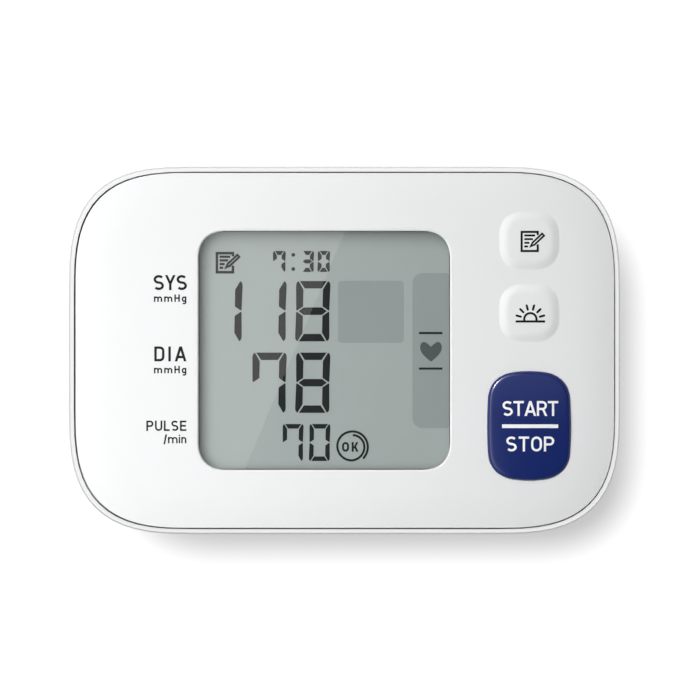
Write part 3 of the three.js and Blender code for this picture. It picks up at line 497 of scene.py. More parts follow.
def sunrise_sign(x, y, weight):
    """A rising sun over a level line."""
    polygons = stroke([(x - DAWN_LINE, y), (x + DAWN_LINE, y)], weight)
    sun = [(x - 0.97, y)] + arc(x, y + DAWN_RISE, 1.0, 1.0, -20, 200, 20) + [(x - 0.94, y)]
    polygons += stroke(sun, weight)[1:-1]
    for c, s in bearings(15, 165, 5):
        ends = [(x + c * r, y + DAWN_RISE + s * r) for r in DAWN_RAYS]
        polygons += stroke(ends, weight, rounded=True)
    return polygons


def heart_sign(x, y, width):
    """A heart with full lobes, from sines and cosines."""
    points = []
    for i in range(HEART_STEPS):
        a = 2 * math.pi * i / HEART_STEPS
        px = 16 * math.sin(a) * abs(math.sin(a)) ** 0.75
        py = 13 * math.cos(a) - 5 * math.cos(2 * a) - 2 * math.cos(3 * a) - math.cos(4 * a)
        points.append((x + px * width / 32, y + (py + 2.5) * width / 32))
    return [points]


def wrap_sign(x, y, weight):
    """A line that winds round once and overlaps itself, as a cuff round a wrist."""
    path = []
    for i in range(WRAP_STEPS + 1):
        turned = WRAP_TURN * i / WRAP_STEPS
        angle = math.radians(WRAP_START - turned)
        far = 1.8 + 0.55 * min(turned / 170, 1) + 0.4 * max((turned - 340) / 145, 0)
        path.append((x + far * math.cos(angle), y + far * math.sin(angle)))
    return stroke(path, weight, rounded=True)


# Materials
ROUGH_LOW, ROUGH_HIGH, GRAIN_DEPTH = 0.88, 1.12, 0.3
FUZZ_SHARE, YARN_DARK, YARN_LIGHT = 0.45, 0.62, 1.3
GLASS_TINT, GLASS_IOR, HAZE_LUMP = (0.97, 0.985, 0.98, 1.0), 1.49, 6.0


def fill(tree, node, inputs):
    """Gives a node's inputs, by name or in order, a constant or another node's output."""
    for socket, value in inputs.items() if isinstance(inputs, dict) else enumerate(inputs):
        if isinstance(value, bpy.types.NodeSocket):
            tree.links.new(value, node.inputs[socket])
        else:
            node.inputs[socket].default_value = value


def add_node(tree, kind, inputs=(), **settings):
    node = tree.nodes.new("ShaderNode" + kind)
    for name, value in settings.items():
        setattr(node, name, value)
    fill(tree, node, inputs)
    return node


def math_node(tree, operation, *inputs, clamp=False):
    return add_node(tree, "Math", inputs, operation=operation, use_clamp=clamp).outputs[0]


def noise(tree, where, lump, detail):
    """Noise with lumps of a size in millimetres."""
    inputs = {"Vector": where, "Scale": 1 / (lump * MM), "Detail": detail}
    return add_node(tree, "TexNoise", inputs).outputs["Fac"]


def ranged(tree, factor, low, high):
    inputs = {"Value": factor, "To Min": low, "To Max": high}
    return add_node(tree, "MapRange", inputs).outputs["Result"]


def tinted(tree, factor, colour, dark, light):
    """A colour that runs between a darker and a lighter share of itself."""
    shades = [[min(c * share, 1.0) for c in colour] + [1.0] for share in (dark, light)]
    inputs = {"Factor": factor, "A": shades[0], "B": shades[1]}
    return add_node(tree, "Mix", inputs, data_type="RGBA").outputs["Result"]


def relief(tree, height, strength, depth):
    inputs = {"Height": height, "Strength": strength, "Distance": depth * MM}
    return add_node(tree, "Bump", inputs).outputs["Normal"]


def new_material(name):
    material = bpy.data.materials.new(name)
    material.use_nodes = True
    return material, material.node_tree


def surface(
    name, colour, roughness, metallic=0.0, specular=0.5, spread=0.05, patch=9.0, grain=0.35, bump=0.06
):
    """A surface whose colour and roughness change a little from place to place over a fine grain."""
    material, tree = new_material(name)
    where = add_node(tree, "TexCoord").outputs["Object"]
    patches = noise(tree, where, patch, 3.0)
    grains = noise(tree, where, grain, 2.0)
    fill(tree, tree.nodes["Principled BSDF"], {
        "Metallic": metallic,
        "Specular IOR Level": specular,
        "Base Color": tinted(tree, patches, colour, 1 - spread, 1 + spread),
        "Roughness": ranged(tree, patches, roughness * ROUGH_LOW, min(roughness * ROUGH_HIGH, 1.0)),
        "Normal": relief(tree, grains, bump, grain * GRAIN_DEPTH),
    })
    return material


def painted_seam_shade(material, reach):
    """Paints shade into a surface's colour where other faces lie within a reach of it, so seams and gaps
    come out darker.
    """
    tree = material.node_tree
    shader = tree.nodes["Principled BSDF"]
    unshaded = shader.inputs["Base Color"].links[0].from_socket
    # Ambient occlusion paints shade into the base colour near other faces
    painted_shade = add_node(tree, "AmbientOcclusion", {"Color": unshaded, "Distance": reach * MM})
    fill(tree, shader, {"Base Color": painted_shade.outputs["Color"]})


def cloth(name, colour, pitch, depth, fuzz):
    """Cloth of crossing yarns at a pitch over its own width and length, with a heathered tint."""
    material, tree = new_material(name)
    where = add_node(tree, "TexCoord").outputs
    wave = {"Vector": where["UV"], "Scale": 2 * math.pi / (20 * pitch), "Distortion": 0.6, "Detail": 1.0}
    yarns = [add_node(tree, "TexWave", wave, bands_direction=way).outputs["Fac"] for way in "XY"]
    weave = math_node(tree, "MULTIPLY", *yarns)
    fibres = noise(tree, where["Object"], fuzz, 4.0)
    height = math_node(tree, "MULTIPLY_ADD", fibres, FUZZ_SHARE, weave)
    fill(tree, tree.nodes["Principled BSDF"], {
        "Base Color": tinted(tree, height, colour, YARN_DARK, YARN_LIGHT),
        "Normal": relief(tree, height, 0.7, depth),
        "Roughness": 0.92,
        "Specular IOR Level": 0.2,
        "Sheen Weight": 0.35,
        "Sheen Roughness": 0.5,
    })
    return material


def glass(name, roughness):
    """A clear pane: seen through, with the mirror share of a polished face."""
    material, tree = new_material(name)
    tree.nodes.remove(tree.nodes["Principled BSDF"])
    haze = noise(tree, add_node(tree, "TexCoord").outputs["Object"], HAZE_LUMP, 2.0)
    polish = ranged(tree, haze, roughness * 0.8, roughness * 1.2)
    mirror = add_node(tree, "BsdfGlossy", {"Roughness": polish}).outputs["BSDF"]
    clear = add_node(tree, "BsdfTransparent", {"Color": GLASS_TINT}).outputs["BSDF"]
    share = add_node(tree, "Fresnel", {"IOR": GLASS_IOR}).outputs["Fac"]
    back = add_node(tree, "NewGeometry").outputs["Backfacing"]
    entering = math_node(tree, "SUBTRACT", share, back, clamp=True)
    both = add_node(tree, "MixShader", (entering, clear, mirror)).outputs["Shader"]
    fill(tree, tree.nodes["Material Output"], {"Surface": both})
    return material


white_plastic = surface("white_plastic", (0.84, 0.845, 0.85), 0.42, spread=0.008, bump=0.02)
case_plastic = surface("case_plastic", (0.9, 0.905, 0.91), 0.5, spread=0.008, bump=0.02, specular=0.3)
# The case's plastic gets painted shade in its seams and gaps, within 2 mm of other faces
painted_seam_shade(case_plastic, 2.0)
pad_rubber = surface("pad_rubber", (0.84, 0.845, 0.85), 0.45, spread=0.008, bump=0.02)
blue_key = surface("blue_key", (0.0035, 0.0165, 0.138), 0.21, bump=0.008, specular=0.45)
lens_glass = glass("lens_glass", 0.004)
lcd_cell = surface("lcd_cell", (0.421, 0.444, 0.442), 0.6, spread=0.02, grain=0.2, bump=0.03)
lcd_dark = surface("lcd_dark", (0.011, 0.0125, 0.013), 0.7, bump=0.02, specular=0.2)
lcd_icon = surface("lcd_icon", (0.075, 0.082, 0.083), 0.6, bump=0.02)
lcd_block = surface("lcd_block", (0.327, 0.352, 0.35), 0.6, spread=0.02, grain=0.2, bump=0.03)
grey_ink = surface("grey_ink", (0.009, 0.009, 0.01), 0.6, spread=0.06, bump=0.03, specular=0.2)
black_ink = surface("black_ink", (0.005, 0.005, 0.005), 0.6, spread=0.06, bump=0.03, specular=0.15)
white_ink = surface("white_ink", (0.95, 0.955, 0.96), 0.5, spread=0.01, bump=0.03)
foam = surface("foam", (0.03, 0.03, 0.032), 0.9, spread=0.12, grain=0.5, bump=0.3)
steel = surface("steel", (0.62, 0.62, 0.63), 0.3, metallic=1.0, spread=0.04, bump=0.05)
gold = surface("contact_metal", (0.75, 0.66, 0.45), 0.32, metallic=1.0, bump=0.05)
board_green = surface("board_green", (0.02, 0.13, 0.05), 0.45, spread=0.25, patch=2.5)
chip_black = surface("chip_black", (0.02, 0.02, 0.022), 0.5, spread=0.1, bump=0.1)
cell_jacket = surface("cell_jacket", (0.05, 0.16, 0.12), 0.35, spread=0.1, patch=12.0, metallic=0.3)
dark_plastic = surface("dark_plastic", (0.05, 0.05, 0.055), 0.5, spread=0.08, bump=0.08)
pale_plastic = surface("pale_plastic", (0.55, 0.56, 0.57), 0.5, spread=0.04)
hose_rubber = surface("hose_rubber", (0.30, 0.30, 0.29), 0.6, spread=0.08)
dome_rubber = surface("dome_rubber", (0.42, 0.42, 0.40), 0.65)
outer_cloth = cloth("outer_cloth", (0.045, 0.047, 0.053), 0.75, 0.12, 0.25)
lining_cloth = cloth("lining_cloth", (0.085, 0.088, 0.098), 0.55, 0.08, 0.2)
tape_cloth = cloth("tape_cloth", (0.018, 0.018, 0.021), 0.6, 0.1, 0.3)
hook_cloth = cloth("hook_cloth", (0.022, 0.022, 0.025), 1.3, 0.35, 0.35)
thread = surface("thread", (0.13, 0.132, 0.14), 0.8, spread=0.15, patch=1.0, grain=0.15, bump=0.3)

# CAD nodes keep their shape and get a finish by a word in their name; the others are of pale plastic
FINISHES = {
    steel: "screw spring shaft plunger pump_motor", gold: "bridge plate",
    case_plastic: "battery_cover back_case", cell_jacket: "battery capacitor", white_plastic: "front_cover",
    blue_key: "start_button", dome_rubber: "dome", pad_rubber: "membrane", lens_glass: "lens",
    foam: "gasket", lcd_cell: "lcd_panel", board_green: "main_board", chip_black: "chip buzzer",
    dark_plastic: "sensor manifold nipple", pale_plastic: "valve",
    hose_rubber: "lcd_connector cradle hose bladder", outer_cloth: "cloth", hook_cloth: "tape",
}
for node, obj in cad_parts.items():
    fitting = [finish for finish, parts in FINISHES.items() if any(p in node for p in parts.split())]
    obj.data.materials.clear()
    obj.data.materials.append(fitting[0] if fitting else pale_plastic)
    if "custom_normal" in obj.data.attributes:
        obj.data.attributes.remove(obj.data.attributes["custom_normal"])
    obj.data.shade_smooth()
    weld = obj.modifiers.new("weld", "WELD")
    weld.merge_threshold = WELD * MM / 4
    split = obj.modifiers.new("split", "EDGE_SPLIT")
    split.split_angle = math.radians(CAD_SPLIT)


# Front cover

def face_height(x, y):
    """Height of the cover's top, which falls away towards its edge."""
    u = max(abs(x - COVER_SHIFT) - (CASE_X - COVER_TRIM - CASE_REACH), 0.0)
    v = max(abs(y) - (CASE_Y - CASE_REACH), 0.0)
    depth = CASE_REACH - (u ** CASE_POWER + v ** CASE_POWER) ** (1 / CASE_POWER)
    share = min(max((depth - COVER_INSET - COVER_ROUND) / CROWN_WIDTH, 0.0), 1.0)
    return FACE - CROWN_DROP * (1 - share) ** 2


def cover_outline(depth):
    """The case's outline drawn in by a depth; the cover lies a hair to the right in its seat."""
    half_x, half_y = CASE_X - COVER_TRIM - depth, CASE_Y - depth
    return outline(half_x, half_y, CASE_REACH - depth, CASE_POWER, (COVER_SHIFT, 0.0), steps=32)


def growing(half_x, half_y, reach, power, centre, bow=(0.0, 0.0)):
    """A function that draws an outline grown by a length."""
    return lambda grow: outline(half_x + grow, half_y + grow, reach + grow, power, centre, bow, steps=16)


def edge_rings(loop_at, start, radius, drop):
    """Rings that round over the edge of a hole in the face and run down its wall."""
    rings = []
    for s, c in quarter(6):
        loop = loop_at(start - radius * s)
        rings.append([(x, y, face_height(x, y) - radius * (1 - c)) for x, y in loop])
    rings.append([(x, y, z - drop) for x, y, z in rings[-1]])
    return rings


window_outline = growing(WINDOW_X, WINDOW_Y, WINDOW_REACH, WINDOW_POWER, WINDOW)
start_outline = growing(START_X, START_Y, START_REACH, START_POWER, START, START_BOW)
holes = [
    (window_outline, WINDOW_ROUND, WINDOW_ROUND, FACE - WINDOW_ROUND - lens_high.z - LENS_CLEAR),
    (start_outline, START_GAP + START_EDGE, START_EDGE, COVER_SKIRT),
]
for centre in (MEMORY, MORNING):
    holes.append((growing(PAD_X, PAD_Y, KEY_REACH, KEY_POWER, centre), KEY_GAP, KEY_EDGE, COVER_SKIRT))
crown_loops = [cover_outline(COVER_INSET + COVER_ROUND + CROWN_WIDTH * t) for t in CROWN_STEPS]
hole_loops = [loop_at(grow) for loop_at, grow, _, _ in holes]
guard_loops = [loop_at(grow + GUARD) for loop_at, grow, _, _ in holes]
points, edges = [], []
for loop in crown_loops + hole_loops + guard_loops:
    first = len(points)
    points += [Vector(p) for p in loop]
    edges += [(first + i, first + (i + 1) % len(loop)) for i in range(len(loop))]
found, _, triangles, _, _, _ = delaunay_2d_cdt(points, edges, [], 0, TOUCH)
kept = []
for t in triangles:
    x = sum(found[i].x for i in t) / 3
    y = sum(found[i].y for i in t) / 3
    if not any(inside(x, y, loop) for loop in hole_loops):
        kept.append(tuple(t))
cover = Shape()
cover.add(lifted([(p.x, p.y) for p in found], face_height), kept)
rim_rings = []
for s, c in quarter(8):
    loop = cover_outline(COVER_INSET + COVER_ROUND * (1 - s))
    rim_rings.append(lifted(loop, FACE - CROWN_DROP - COVER_ROUND * (1 - c)))
rim_rings.append([(x, y, z - COVER_SKIRT) for x, y, z in rim_rings[-1]])
cover.loft(rim_rings)
for hole in holes:
    cover.loft(edge_rings(*hole))
cover_obj = build("cover_plate", cover, white_plastic, "monitor", face_up=True)
wall = cover_obj.modifiers.new("wall", "SOLIDIFY")
wall.thickness = COVER_WALL * MM
wall.offset = -1.0
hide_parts("front_cover")


# START key

def start_height(x, y):
    """Height of the key's top, which is a little domed."""
    u, v = (x - START[0]) / START_X, (y - START[1]) / START_Y
    return start_high.z - START_SINK - START_DOME * (u ** 2 + v ** 2)


flange, flange_top = start_outline(START_FLANGE), start_low.z + FLANGE_HEIGHT
rings = [lifted(flange, start_low.z), lifted(flange, flange_top), lifted(start_outline(0.0), flange_top)]
for s, c in quarter(10):
    loop = start_outline(-START_ROUND * (1 - c))
    rings.append([(x, y, start_height(x, y) - START_ROUND * (1 - s)) for x, y in loop])
top_loop = start_outline(-START_ROUND)
rings += [lifted(scaled(top_loop, START, factor), start_height) for factor in START_RINGS]
start_key = Shape()
start_key.loft(rings, capped=True)
start_obj = build("start_key", start_key, blue_key, "start_button", split=KEY_SPLIT)
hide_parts("start_button")

# Soft pads over the two white keys
for name, centre in (("memory", MEMORY), ("morning", MORNING)):
    pad_outline = growing(PAD_X, PAD_Y, PAD_REACH, PAD_POWER, centre)
    outer = []
    for step in range(PAD_STEPS + 1):
        t = step / PAD_STEPS
        share = 1 - (1 - t) ** PAD_SWELL
        rise = share * share * (3 - 2 * share)
        grow = PAD_MARGIN + PAD_SPREAD - (PAD_MARGIN + PAD_SPREAD + PAD_INSET) * t
        outer.append(lifted(pad_outline(grow), PAD_FOOT + PAD_HEIGHT * rise))
    top = pad_outline(-PAD_INSET)
    for factor in PAD_RINGS:
        height = PAD_FOOT + PAD_HEIGHT + PAD_DOME * (1 - factor ** 2)
        outer.append(lifted(scaled(top, centre, factor), height))
    under = [[(x, y, max(z - PAD_SKIN, PAD_BED)) for x, y, z in ring] for ring in outer]
    pad = Shape()
    pad.loft(under[::-1] + outer, capped=True)
    pad_obj = build(f"{name}_pad", pad, pad_rubber, "monitor", split=ROUND_SPLIT)
    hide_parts(f"{name}_membrane")
    anchor(centre, FACE)
    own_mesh(pad_obj)

# Rubber domes under the keys
for name in ("start", "memory", "morning"):
    low, high = corners(f"{name}_dome")
    centre = middle(low, high)
    foot, tall = (high.x - low.x) / 2, high.z - low.z
    turn, round_in = foot * DOME_CROWN - DOME_SHOULDER, DOME_SHOULDER - DOME_WALL
    under, over = [], []
    for c, s in bearings(90, 0, 6):
        under.append((turn + round_in * c, tall - DOME_SHOULDER - DOME_WALL + round_in * s))
        over.insert(0, (turn + DOME_SHOULDER * c, tall - DOME_SHOULDER + DOME_SHOULDER * s))
    inner = foot - DOME_WALL * 2
    profile = [(DOME_EYE, under[0][1])] + under + [(inner, DOME_FOOT), (inner, 0.0), (foot, 0.0)]
    profile += [(foot, DOME_FOOT), (foot - DOME_WALL, DOME_FOOT)] + over + [(DOME_EYE, tall)]
    boot = Shape()
    boot.loft([lifted(disc(*centre, r, 40), low.z + z) for r, z in profile], capped=True)
    boot_obj = build(f"{name}_boot", boot, dome_rubber, "monitor")
    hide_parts(f"{name}_dome")
    anchor(centre, low.z)
    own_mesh(boot_obj)

# Print on the keys and the face: each line of words has its left and right end, base, cap height and weight
INK, ICON_LINE, ICON_SCALE = 0.02, 0.35, 0.92
MEMO_PLACE, SUNRISE_PLACE = (28.86, 16.2), (30.28, 4.72)
START_WORDS = (("START", 25.74, 34.82, -10.66, 2.42, 0.36), ("STOP", 26.36, 34.16, -16.45, 2.43, 0.36))
RULE_LEFT, RULE_RIGHT, RULE_Y, RULE_WIDTH, RULE_STEPS = 25.66, 34.8, -12.34, 0.6, 12
FACE_WORDS = (
    ("SYS", -31.12, -25.67, 9.83, 2.46, 0.4), ("mmHg", -31.06, -25.77, 7.92, 1.2, 0.24),
    ("DIA", -31.0, -25.75, -1.78, 2.43, 0.4), ("mmHg", -31.06, -25.77, -3.72, 1.2, 0.24),
    ("PULSE", -32.3, -25.77, -13.12, 1.68, 0.28), ("/min", -29.5, -25.77, -15.13, 1.4, 0.24),
)
rule = [(RULE_LEFT + (RULE_RIGHT - RULE_LEFT) * i / RULE_STEPS, RULE_Y) for i in range(RULE_STEPS + 1)]
start_signs = [sign for line in START_WORDS for sign in words(*line)] + stroke(rule, RULE_WIDTH)
printed("start_print", start_signs, start_height, INK, white_ink, "start_button")
for name, sign, centre in (
    ("memory", memo_sign(*MEMO_PLACE, ICON_SCALE, ICON_LINE), MEMORY),
    ("morning", sunrise_sign(*SUNRISE_PLACE, ICON_LINE), MORNING),
):
    icon = printed(f"{name}_print", sign, PAD_TOP, INK, black_ink, "monitor")
    anchor(centre, FACE)
    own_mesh(icon)
face_signs = [sign for line in FACE_WORDS for sign in words(*line)]
printed("label_print", face_signs, face_height, INK, grey_ink, "monitor")

# Display: a row has its base, its figures' width, height and segment, and the figures with their left ends
LCD_LIFT, BLOCK_SHORT = 0.03, 0.1
BIG, PULSE, TIME, TIME_LAST = (5.6, 9.85, 1.21), (3.41, 6.05, 0.75), (2.1, 3.43, 0.66), (2.02, 3.43, 0.66)
FIGURE_ROWS = (
    (1.49, BIG, (("1", -22.32), ("1", -15.13), ("8", -7.99))),
    (-10.2, BIG, (("7", -15.13), ("8", -7.99))),
    (-18.07, PULSE, (("7", -10.15), ("0", -5.77))),
    (12.83, TIME, (("7", -11.72), ("3", -7.1))),
    (12.83, TIME_LAST, (("0", -4.4),)),
)
COLON_X, COLON_HEIGHTS, COLON_RADIUS = -8.37, (15.62, 13.3), 0.31
BLOCKS = ((-1.08, 1.24, 9.7, 11.4, 0.65), (11.1, -12.7, lcd_high.x - BLOCK_SHORT, 12.65, 1.63))
PULSE_BARS = ((12.18, 2.66, 16.0, 3.02), (12.18, -3.15, 16.0, -2.79))
LCD_MEMO, WRAP, HEART = (-20.85, 12.78, ICON_SCALE, 0.42), (1.18, -15.62, 0.36), (14.13, -0.22, 3.55)
OK_WORD = ("OK", -0.4, 2.28, -16.55, 1.58, 0.33)
figures = []
for base, size, row in FIGURE_ROWS:
    for value, left in row:
        figures += digit(value, left, base, *size)
figures += [disc(COLON_X, y, COLON_RADIUS) for y in COLON_HEIGHTS]
signs = memo_sign(*LCD_MEMO) + wrap_sign(*WRAP) + words(*OK_WORD) + [bar(*ends) for ends in PULSE_BARS]
for name, polygons, lift, material in (
    ("lcd_figures", figures, LCD_LIFT, lcd_dark),
    ("lcd_blocks", [bar(*ends) for ends in BLOCKS], LCD_LIFT / 3, lcd_block),
    ("lcd_signs", signs, LCD_LIFT, lcd_dark),
    ("lcd_heart", heart_sign(*HEART), LCD_LIFT, lcd_icon),
):
    printed(name, polygons, LCD_TOP, lift, material, "monitor")


# Cuff, as straps along stations: a point (y, z), the way out of the cloth and the length so far

def straight(start, end, out, count):
    return [(tuple(a + (b - a) * i / count for a, b in zip(start, end)), out) for i in range(count + 1)]


def bend(centre, radius, start, end, count=14):
    ways = bearings(start, end, count)
    return [((centre[0] + radius * c, centre[1] + radius * s), (c, s)) for c, s in ways]


def hanging(top, *stops):
    """Stations down the cuff's near side, from a top through stops with a height and a step count."""
    found = []
    for height, count in stops:
        found += straight((-CUFF_Y, top), (-CUFF_Y, height), NEAR, count)
        top = height
    return found


def measured(stations):
    """Stations with the length run so far, without doubled points."""
    run, found = 0.0, []
    for point, out in stations:
        if found:
            step = math.dist(point, found[-1][0])
            if step < SAME:
                continue
            run += step
        found.append((point, out, run))
    return found


def place(station, x, depth):
    (y, z), out, _ = station
    return (CUFF_X + x, y - out[0] * depth, z - out[1] * depth)


def along(stations, run):
    """The station at a length along a strap."""
    for a, b in zip(stations, stations[1:]):
        if run <= b[2]:
            t = (run - a[2]) / (b[2] - a[2])
            point = tuple(p + (q - p) * t for p, q in zip(a[0], b[0]))
            out = Vector([p + (q - p) * t for p, q in zip(a[1], b[1])]).normalized()
            return (point, tuple(out), run)
    return stations[-1]


def soft(name, shape, material, body=None):
    return build(name, shape, material, body, split=SOFT_SPLIT)


def strap(stations, half, near, far, radius, pucker=0.0):
    """A padded strap between two depths, rounded along its edges and at its ends."""
    shape = Shape()
    total, core = stations[-1][2], (near + far) / 2
    rings, places = [], []
    for station in stations:
        run = station[2]
        wide = half(run) if callable(half) else half
        end = min(run, total - run)
        close = 1.0 if end >= radius else max(math.sqrt(max(1 - (1 - end / radius) ** 2, 0.0)), STRAP_END)
        ring = []
        for side in (1, -1):
            for j in range(STRAP_STEPS + 1):
                x = side * wide * math.sin(math.pi / 2 * (2 * j / STRAP_STEPS - 1))
                edge = wide - abs(x)
                turn = radius - math.sqrt(max(radius ** 2 - (radius - min(edge, radius)) ** 2, 0.0))
                swell = 0.5 + 0.5 * math.sin(run * PUCKER_RATE + (x > 0))
                wave = pucker * math.exp(-((edge - PUCKER_INSET) / PUCKER_REACH) ** 2) * swell
                depth = near + turn + wave if side > 0 else far - turn - wave
                ring.append(place(station, x, core + (depth - core) * close))
                places.append((x + (0 if side > 0 else 4 * wide), run))
        rings.append(ring)
    shape.loft(rings, capped=True, places=places)
    return shape


def bind(name, stations, thick, radius, body):
    """Tapes folded over both edges of a piece as wide as the cuff."""
    shape = Shape()
    start = CUFF_HALF - BINDING_WIDTH
    for side in (1, -1):
        rings, places = [], []
        for station in stations:
            ring = []
            for inset, order in ((0.0, 1), (BINDING_THICK, -1)):
                r = max(radius - inset, BINDING_FOLD)
                turn = CUFF_HALF - inset - r
                track = [(start, inset)] + arc(turn, inset + r, r, r, -90, 0, 6)
                track += arc(turn, thick - inset - r, r, r, 0, 90, 6) + [(start, thick - inset)]
                for x, depth in track[::order]:
                    ring.append(place(station, side * x, depth))
                    places.append((x + depth, station[2]))
            rings.append(ring)
        shape.loft(rings, capped=True, places=places)
    tapes = soft(name, shape, tape_cloth, body)


def stitch(shape, spot):
    """A round stitch whose ends go down into the cloth; spot places a length, a side and a depth."""
    turns = [math.pi * k / 3 for k in range(6)]
    rings = []
    for far, size in STITCH_FORM:
        length, thick = far * STITCH_LENGTH / 2, STITCH_RADIUS * size
        sink = STITCH_RADIUS * STITCH_SINK * (abs(far) ** 3)
        rings.append([spot(length, thick * math.cos(a), sink - thick * math.sin(a)) for a in turns])
    shape.loft(rings, capped=True)


def stitches(shape, stations, x, depth, margin=2.0):
    """A row of short stitches along a strap."""
    total = stations[-1][2] - 2 * margin
    count = int(total / STITCH_PITCH)
    for i in range(count):
        run = margin + (i + 0.5) * total / count
        stitch(shape, lambda far, side, down: place(along(stations, run + far), x + side, depth + down))


def cross_stitches(shape, stations, run):
    """A row of short stitches across a tape."""
    half, depth = TAPE_HALF - TAPE_ROW_END, -TAPE_THICK
    count = int(2 * half / STITCH_PITCH)
    for i in range(count):
        x = (2 * (i + 0.5) / count - 1) * half
        stitch(shape, lambda far, side, down: place(along(stations, run + side), x + far, depth + down))


UP, DOWN, NEAR, FAR = (0.0, 1.0), (0.0, -1.0), (-1.0, 0.0), (1.0, 0.0)
loop_path = measured(
    hanging(HINGE_END, (CUFF_TOP - CUFF_BEND, 5))
    + bend((-CUFF_Y + CUFF_BEND, CUFF_TOP - CUFF_BEND), CUFF_BEND, 180, 90)
    + straight((-CUFF_Y + CUFF_BEND, CUFF_TOP), (CUFF_Y - CUFF_BEND, CUFF_TOP), UP, 20)
    + bend((CUFF_Y - CUFF_BEND, CUFF_TOP - CUFF_BEND), CUFF_BEND, 90, 0)
    + straight((CUFF_Y, CUFF_TOP - CUFF_BEND), (CUFF_Y, CUFF_BEND), FAR, 24)
    + bend((CUFF_Y - CUFF_BEND, CUFF_BEND), CUFF_BEND, 0, -90)
    + straight((CUFF_Y - CUFF_BEND, 0.0), (-LAP_Y + LAP_BEND, 0.0), DOWN, 20)
    + bend((-LAP_Y + LAP_BEND, LAP_BEND), LAP_BEND, -90, -180, 12)
    + straight((-LAP_Y, LAP_BEND), (-LAP_Y, LAP_TOP - LAP_END), NEAR, 8)
    + straight((-LAP_Y, LAP_TOP - LAP_END), (-LAP_Y, LAP_TOP), NEAR, 5)
)
band_half, band_far = CUFF_HALF - BINDING_BITE, CUFF_THICK - BINDING_SINK
band_shape = strap(loop_path, band_half, BINDING_SINK, band_far, EDGE_ROUND, pucker=0.25)
band = soft("cuff_band", band_shape, outer_cloth, "monitor")
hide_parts("cuff_outer_cloth", "air_bladder", "cuff_curler")
lining_path = [s for s in loop_path if LINING_SHORT < s[2] < loop_path[-1][2] - LINING_SHORT]
lining_path = [(point, out, run - lining_path[0][2]) for point, out, run in lining_path]
lining_half, lining_near = CUFF_HALF - LINING_EDGE, CUFF_THICK - LINING_THICK
lining_shape = strap(lining_path, lining_half, lining_near, CUFF_THICK + LINING_PROUD, LINING_ROUND)
lining = soft("cuff_lining", lining_shape, lining_cloth, "monitor")
inner_points = [place(station, 0, CUFF_THICK) for station in lining_path]
inner_length = sum(math.dist(a, b) for a, b in zip(inner_points, inner_points[1:]))
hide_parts("cuff_inner_cloth")
bind("cuff_binding", loop_path, CUFF_THICK, EDGE_ROUND, "monitor")
seams = Shape()
SEAM = CUFF_HALF - BINDING_WIDTH + SEAM_INSET
for x in (SEAM, -SEAM):
    stitches(seams, loop_path, x, 0.0)
    stitches(seams, loop_path, x, CUFF_THICK)

# Flap that closes the cuff
flap_thick = lining_high.y - flap_low.y
flap_path = measured(
    hanging(flap_high.z, (flap_high.z - FLAP_END, 5), (flap_low.z + FLAP_END, 14), (flap_low.z, 5))
)
flap_half, flap_far = CUFF_HALF - FLAP_EDGE, flap_thick - BINDING_SINK
flap_shape = strap(flap_path, flap_half, BINDING_SINK, flap_far, FLAP_ROUND, pucker=0.15)
flap = soft("flap_pad", flap_shape, outer_cloth, "cuff_flap")
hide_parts("flap_outer_cloth", "flap_inner_cloth", "flap_stiffener")
bind("flap_binding", flap_path, flap_thick, FLAP_ROUND, "cuff_flap")
flap_seams = Shape()
for x in (SEAM, -SEAM):
    stitches(flap_seams, flap_path, x, 0.0, margin=1.5)
    stitches(flap_seams, flap_path, x, flap_thick, margin=1.5)

# Pull tab with its hook tape
tab_thick = hook_low.y - tab_low.y
tab_length = tab_high.z - tab_low.z
tab_path = measured(hanging(
    tab_high.z, (tab_high.z - TAB_ENDS[0], 4), (tab_low.z + TAB_CORNER, 8),
    (tab_low.z + TAB_ENDS[1], 16), (tab_low.z, 4),
))


def tab_half(run):
    """Half the tab's width, which rounds off towards its free end."""
    left = tab_length - run
    if left >= TAB_CORNER:
        return CUFF_HALF
    return CUFF_HALF - TAB_CORNER + math.sqrt(TAB_CORNER ** 2 - (TAB_CORNER - left) ** 2)


tab = soft("tab_pad", strap(tab_path, tab_half, 0.0, tab_thick, tab_thick / 2), outer_cloth, "cuff_tab")
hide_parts("tab_cloth")
hook_path = measured(hanging(hook_high.z, (hook_low.z, 10)))
hook_half, hook_far = (hook_high.x - hook_low.x) / 2, tab_thick + hook_high.y - hook_low.y
hook_shape = strap(hook_path, hook_half, tab_thick, hook_far, HOOK_ROUND)
hook = soft("hook_pad", hook_shape, hook_cloth, "cuff_tab")
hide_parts("hook_tape")
tab_seams = Shape()
tab_row = [s for s in tab_path if s[2] < tab_length - TAB_CORNER]
for x in (CUFF_HALF - TAB_SEAM, TAB_SEAM - CUFF_HALF):
    stitches(tab_seams, tab_row, x, 0.0, margin=1.2)

# Tapes sewn over the two fold lines, between the bodies that they join
TAPE_HALF = CUFF_HALF - TAPE_EDGE
upper = [(point, out) for point, out, run in loop_path if run <= TAPE_RUN]
hinge_path = measured(upper[::-1] + hanging(HINGE_END, (flap_high.z - TAPE_RUN, 24)))
fold_path = measured(hanging(flap_low.z + FOLD_RUN, (tab_high.z - FOLD_RUN, 28)))
hinge_fold, tab_fold = (HINGE_END + flap_high.z) / 2, (flap_low.z + tab_high.z) / 2
for name, path, bodies, height, rests in (
    ("hinge_tape", hinge_path, ("monitor", "cuff_flap"), hinge_fold, ("cuff_band", "flap_pad")),
    ("fold_tape", fold_path, ("cuff_flap", "cuff_tab"), tab_fold, ("flap_pad", "tab_pad")),
):
    tape = soft(name, strap(path, TAPE_HALF, -TAPE_THICK, -TAPE_SINK, TAPE_THICK / 2), tape_cloth)
    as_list(rests)
    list(bodies)
    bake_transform(tape)

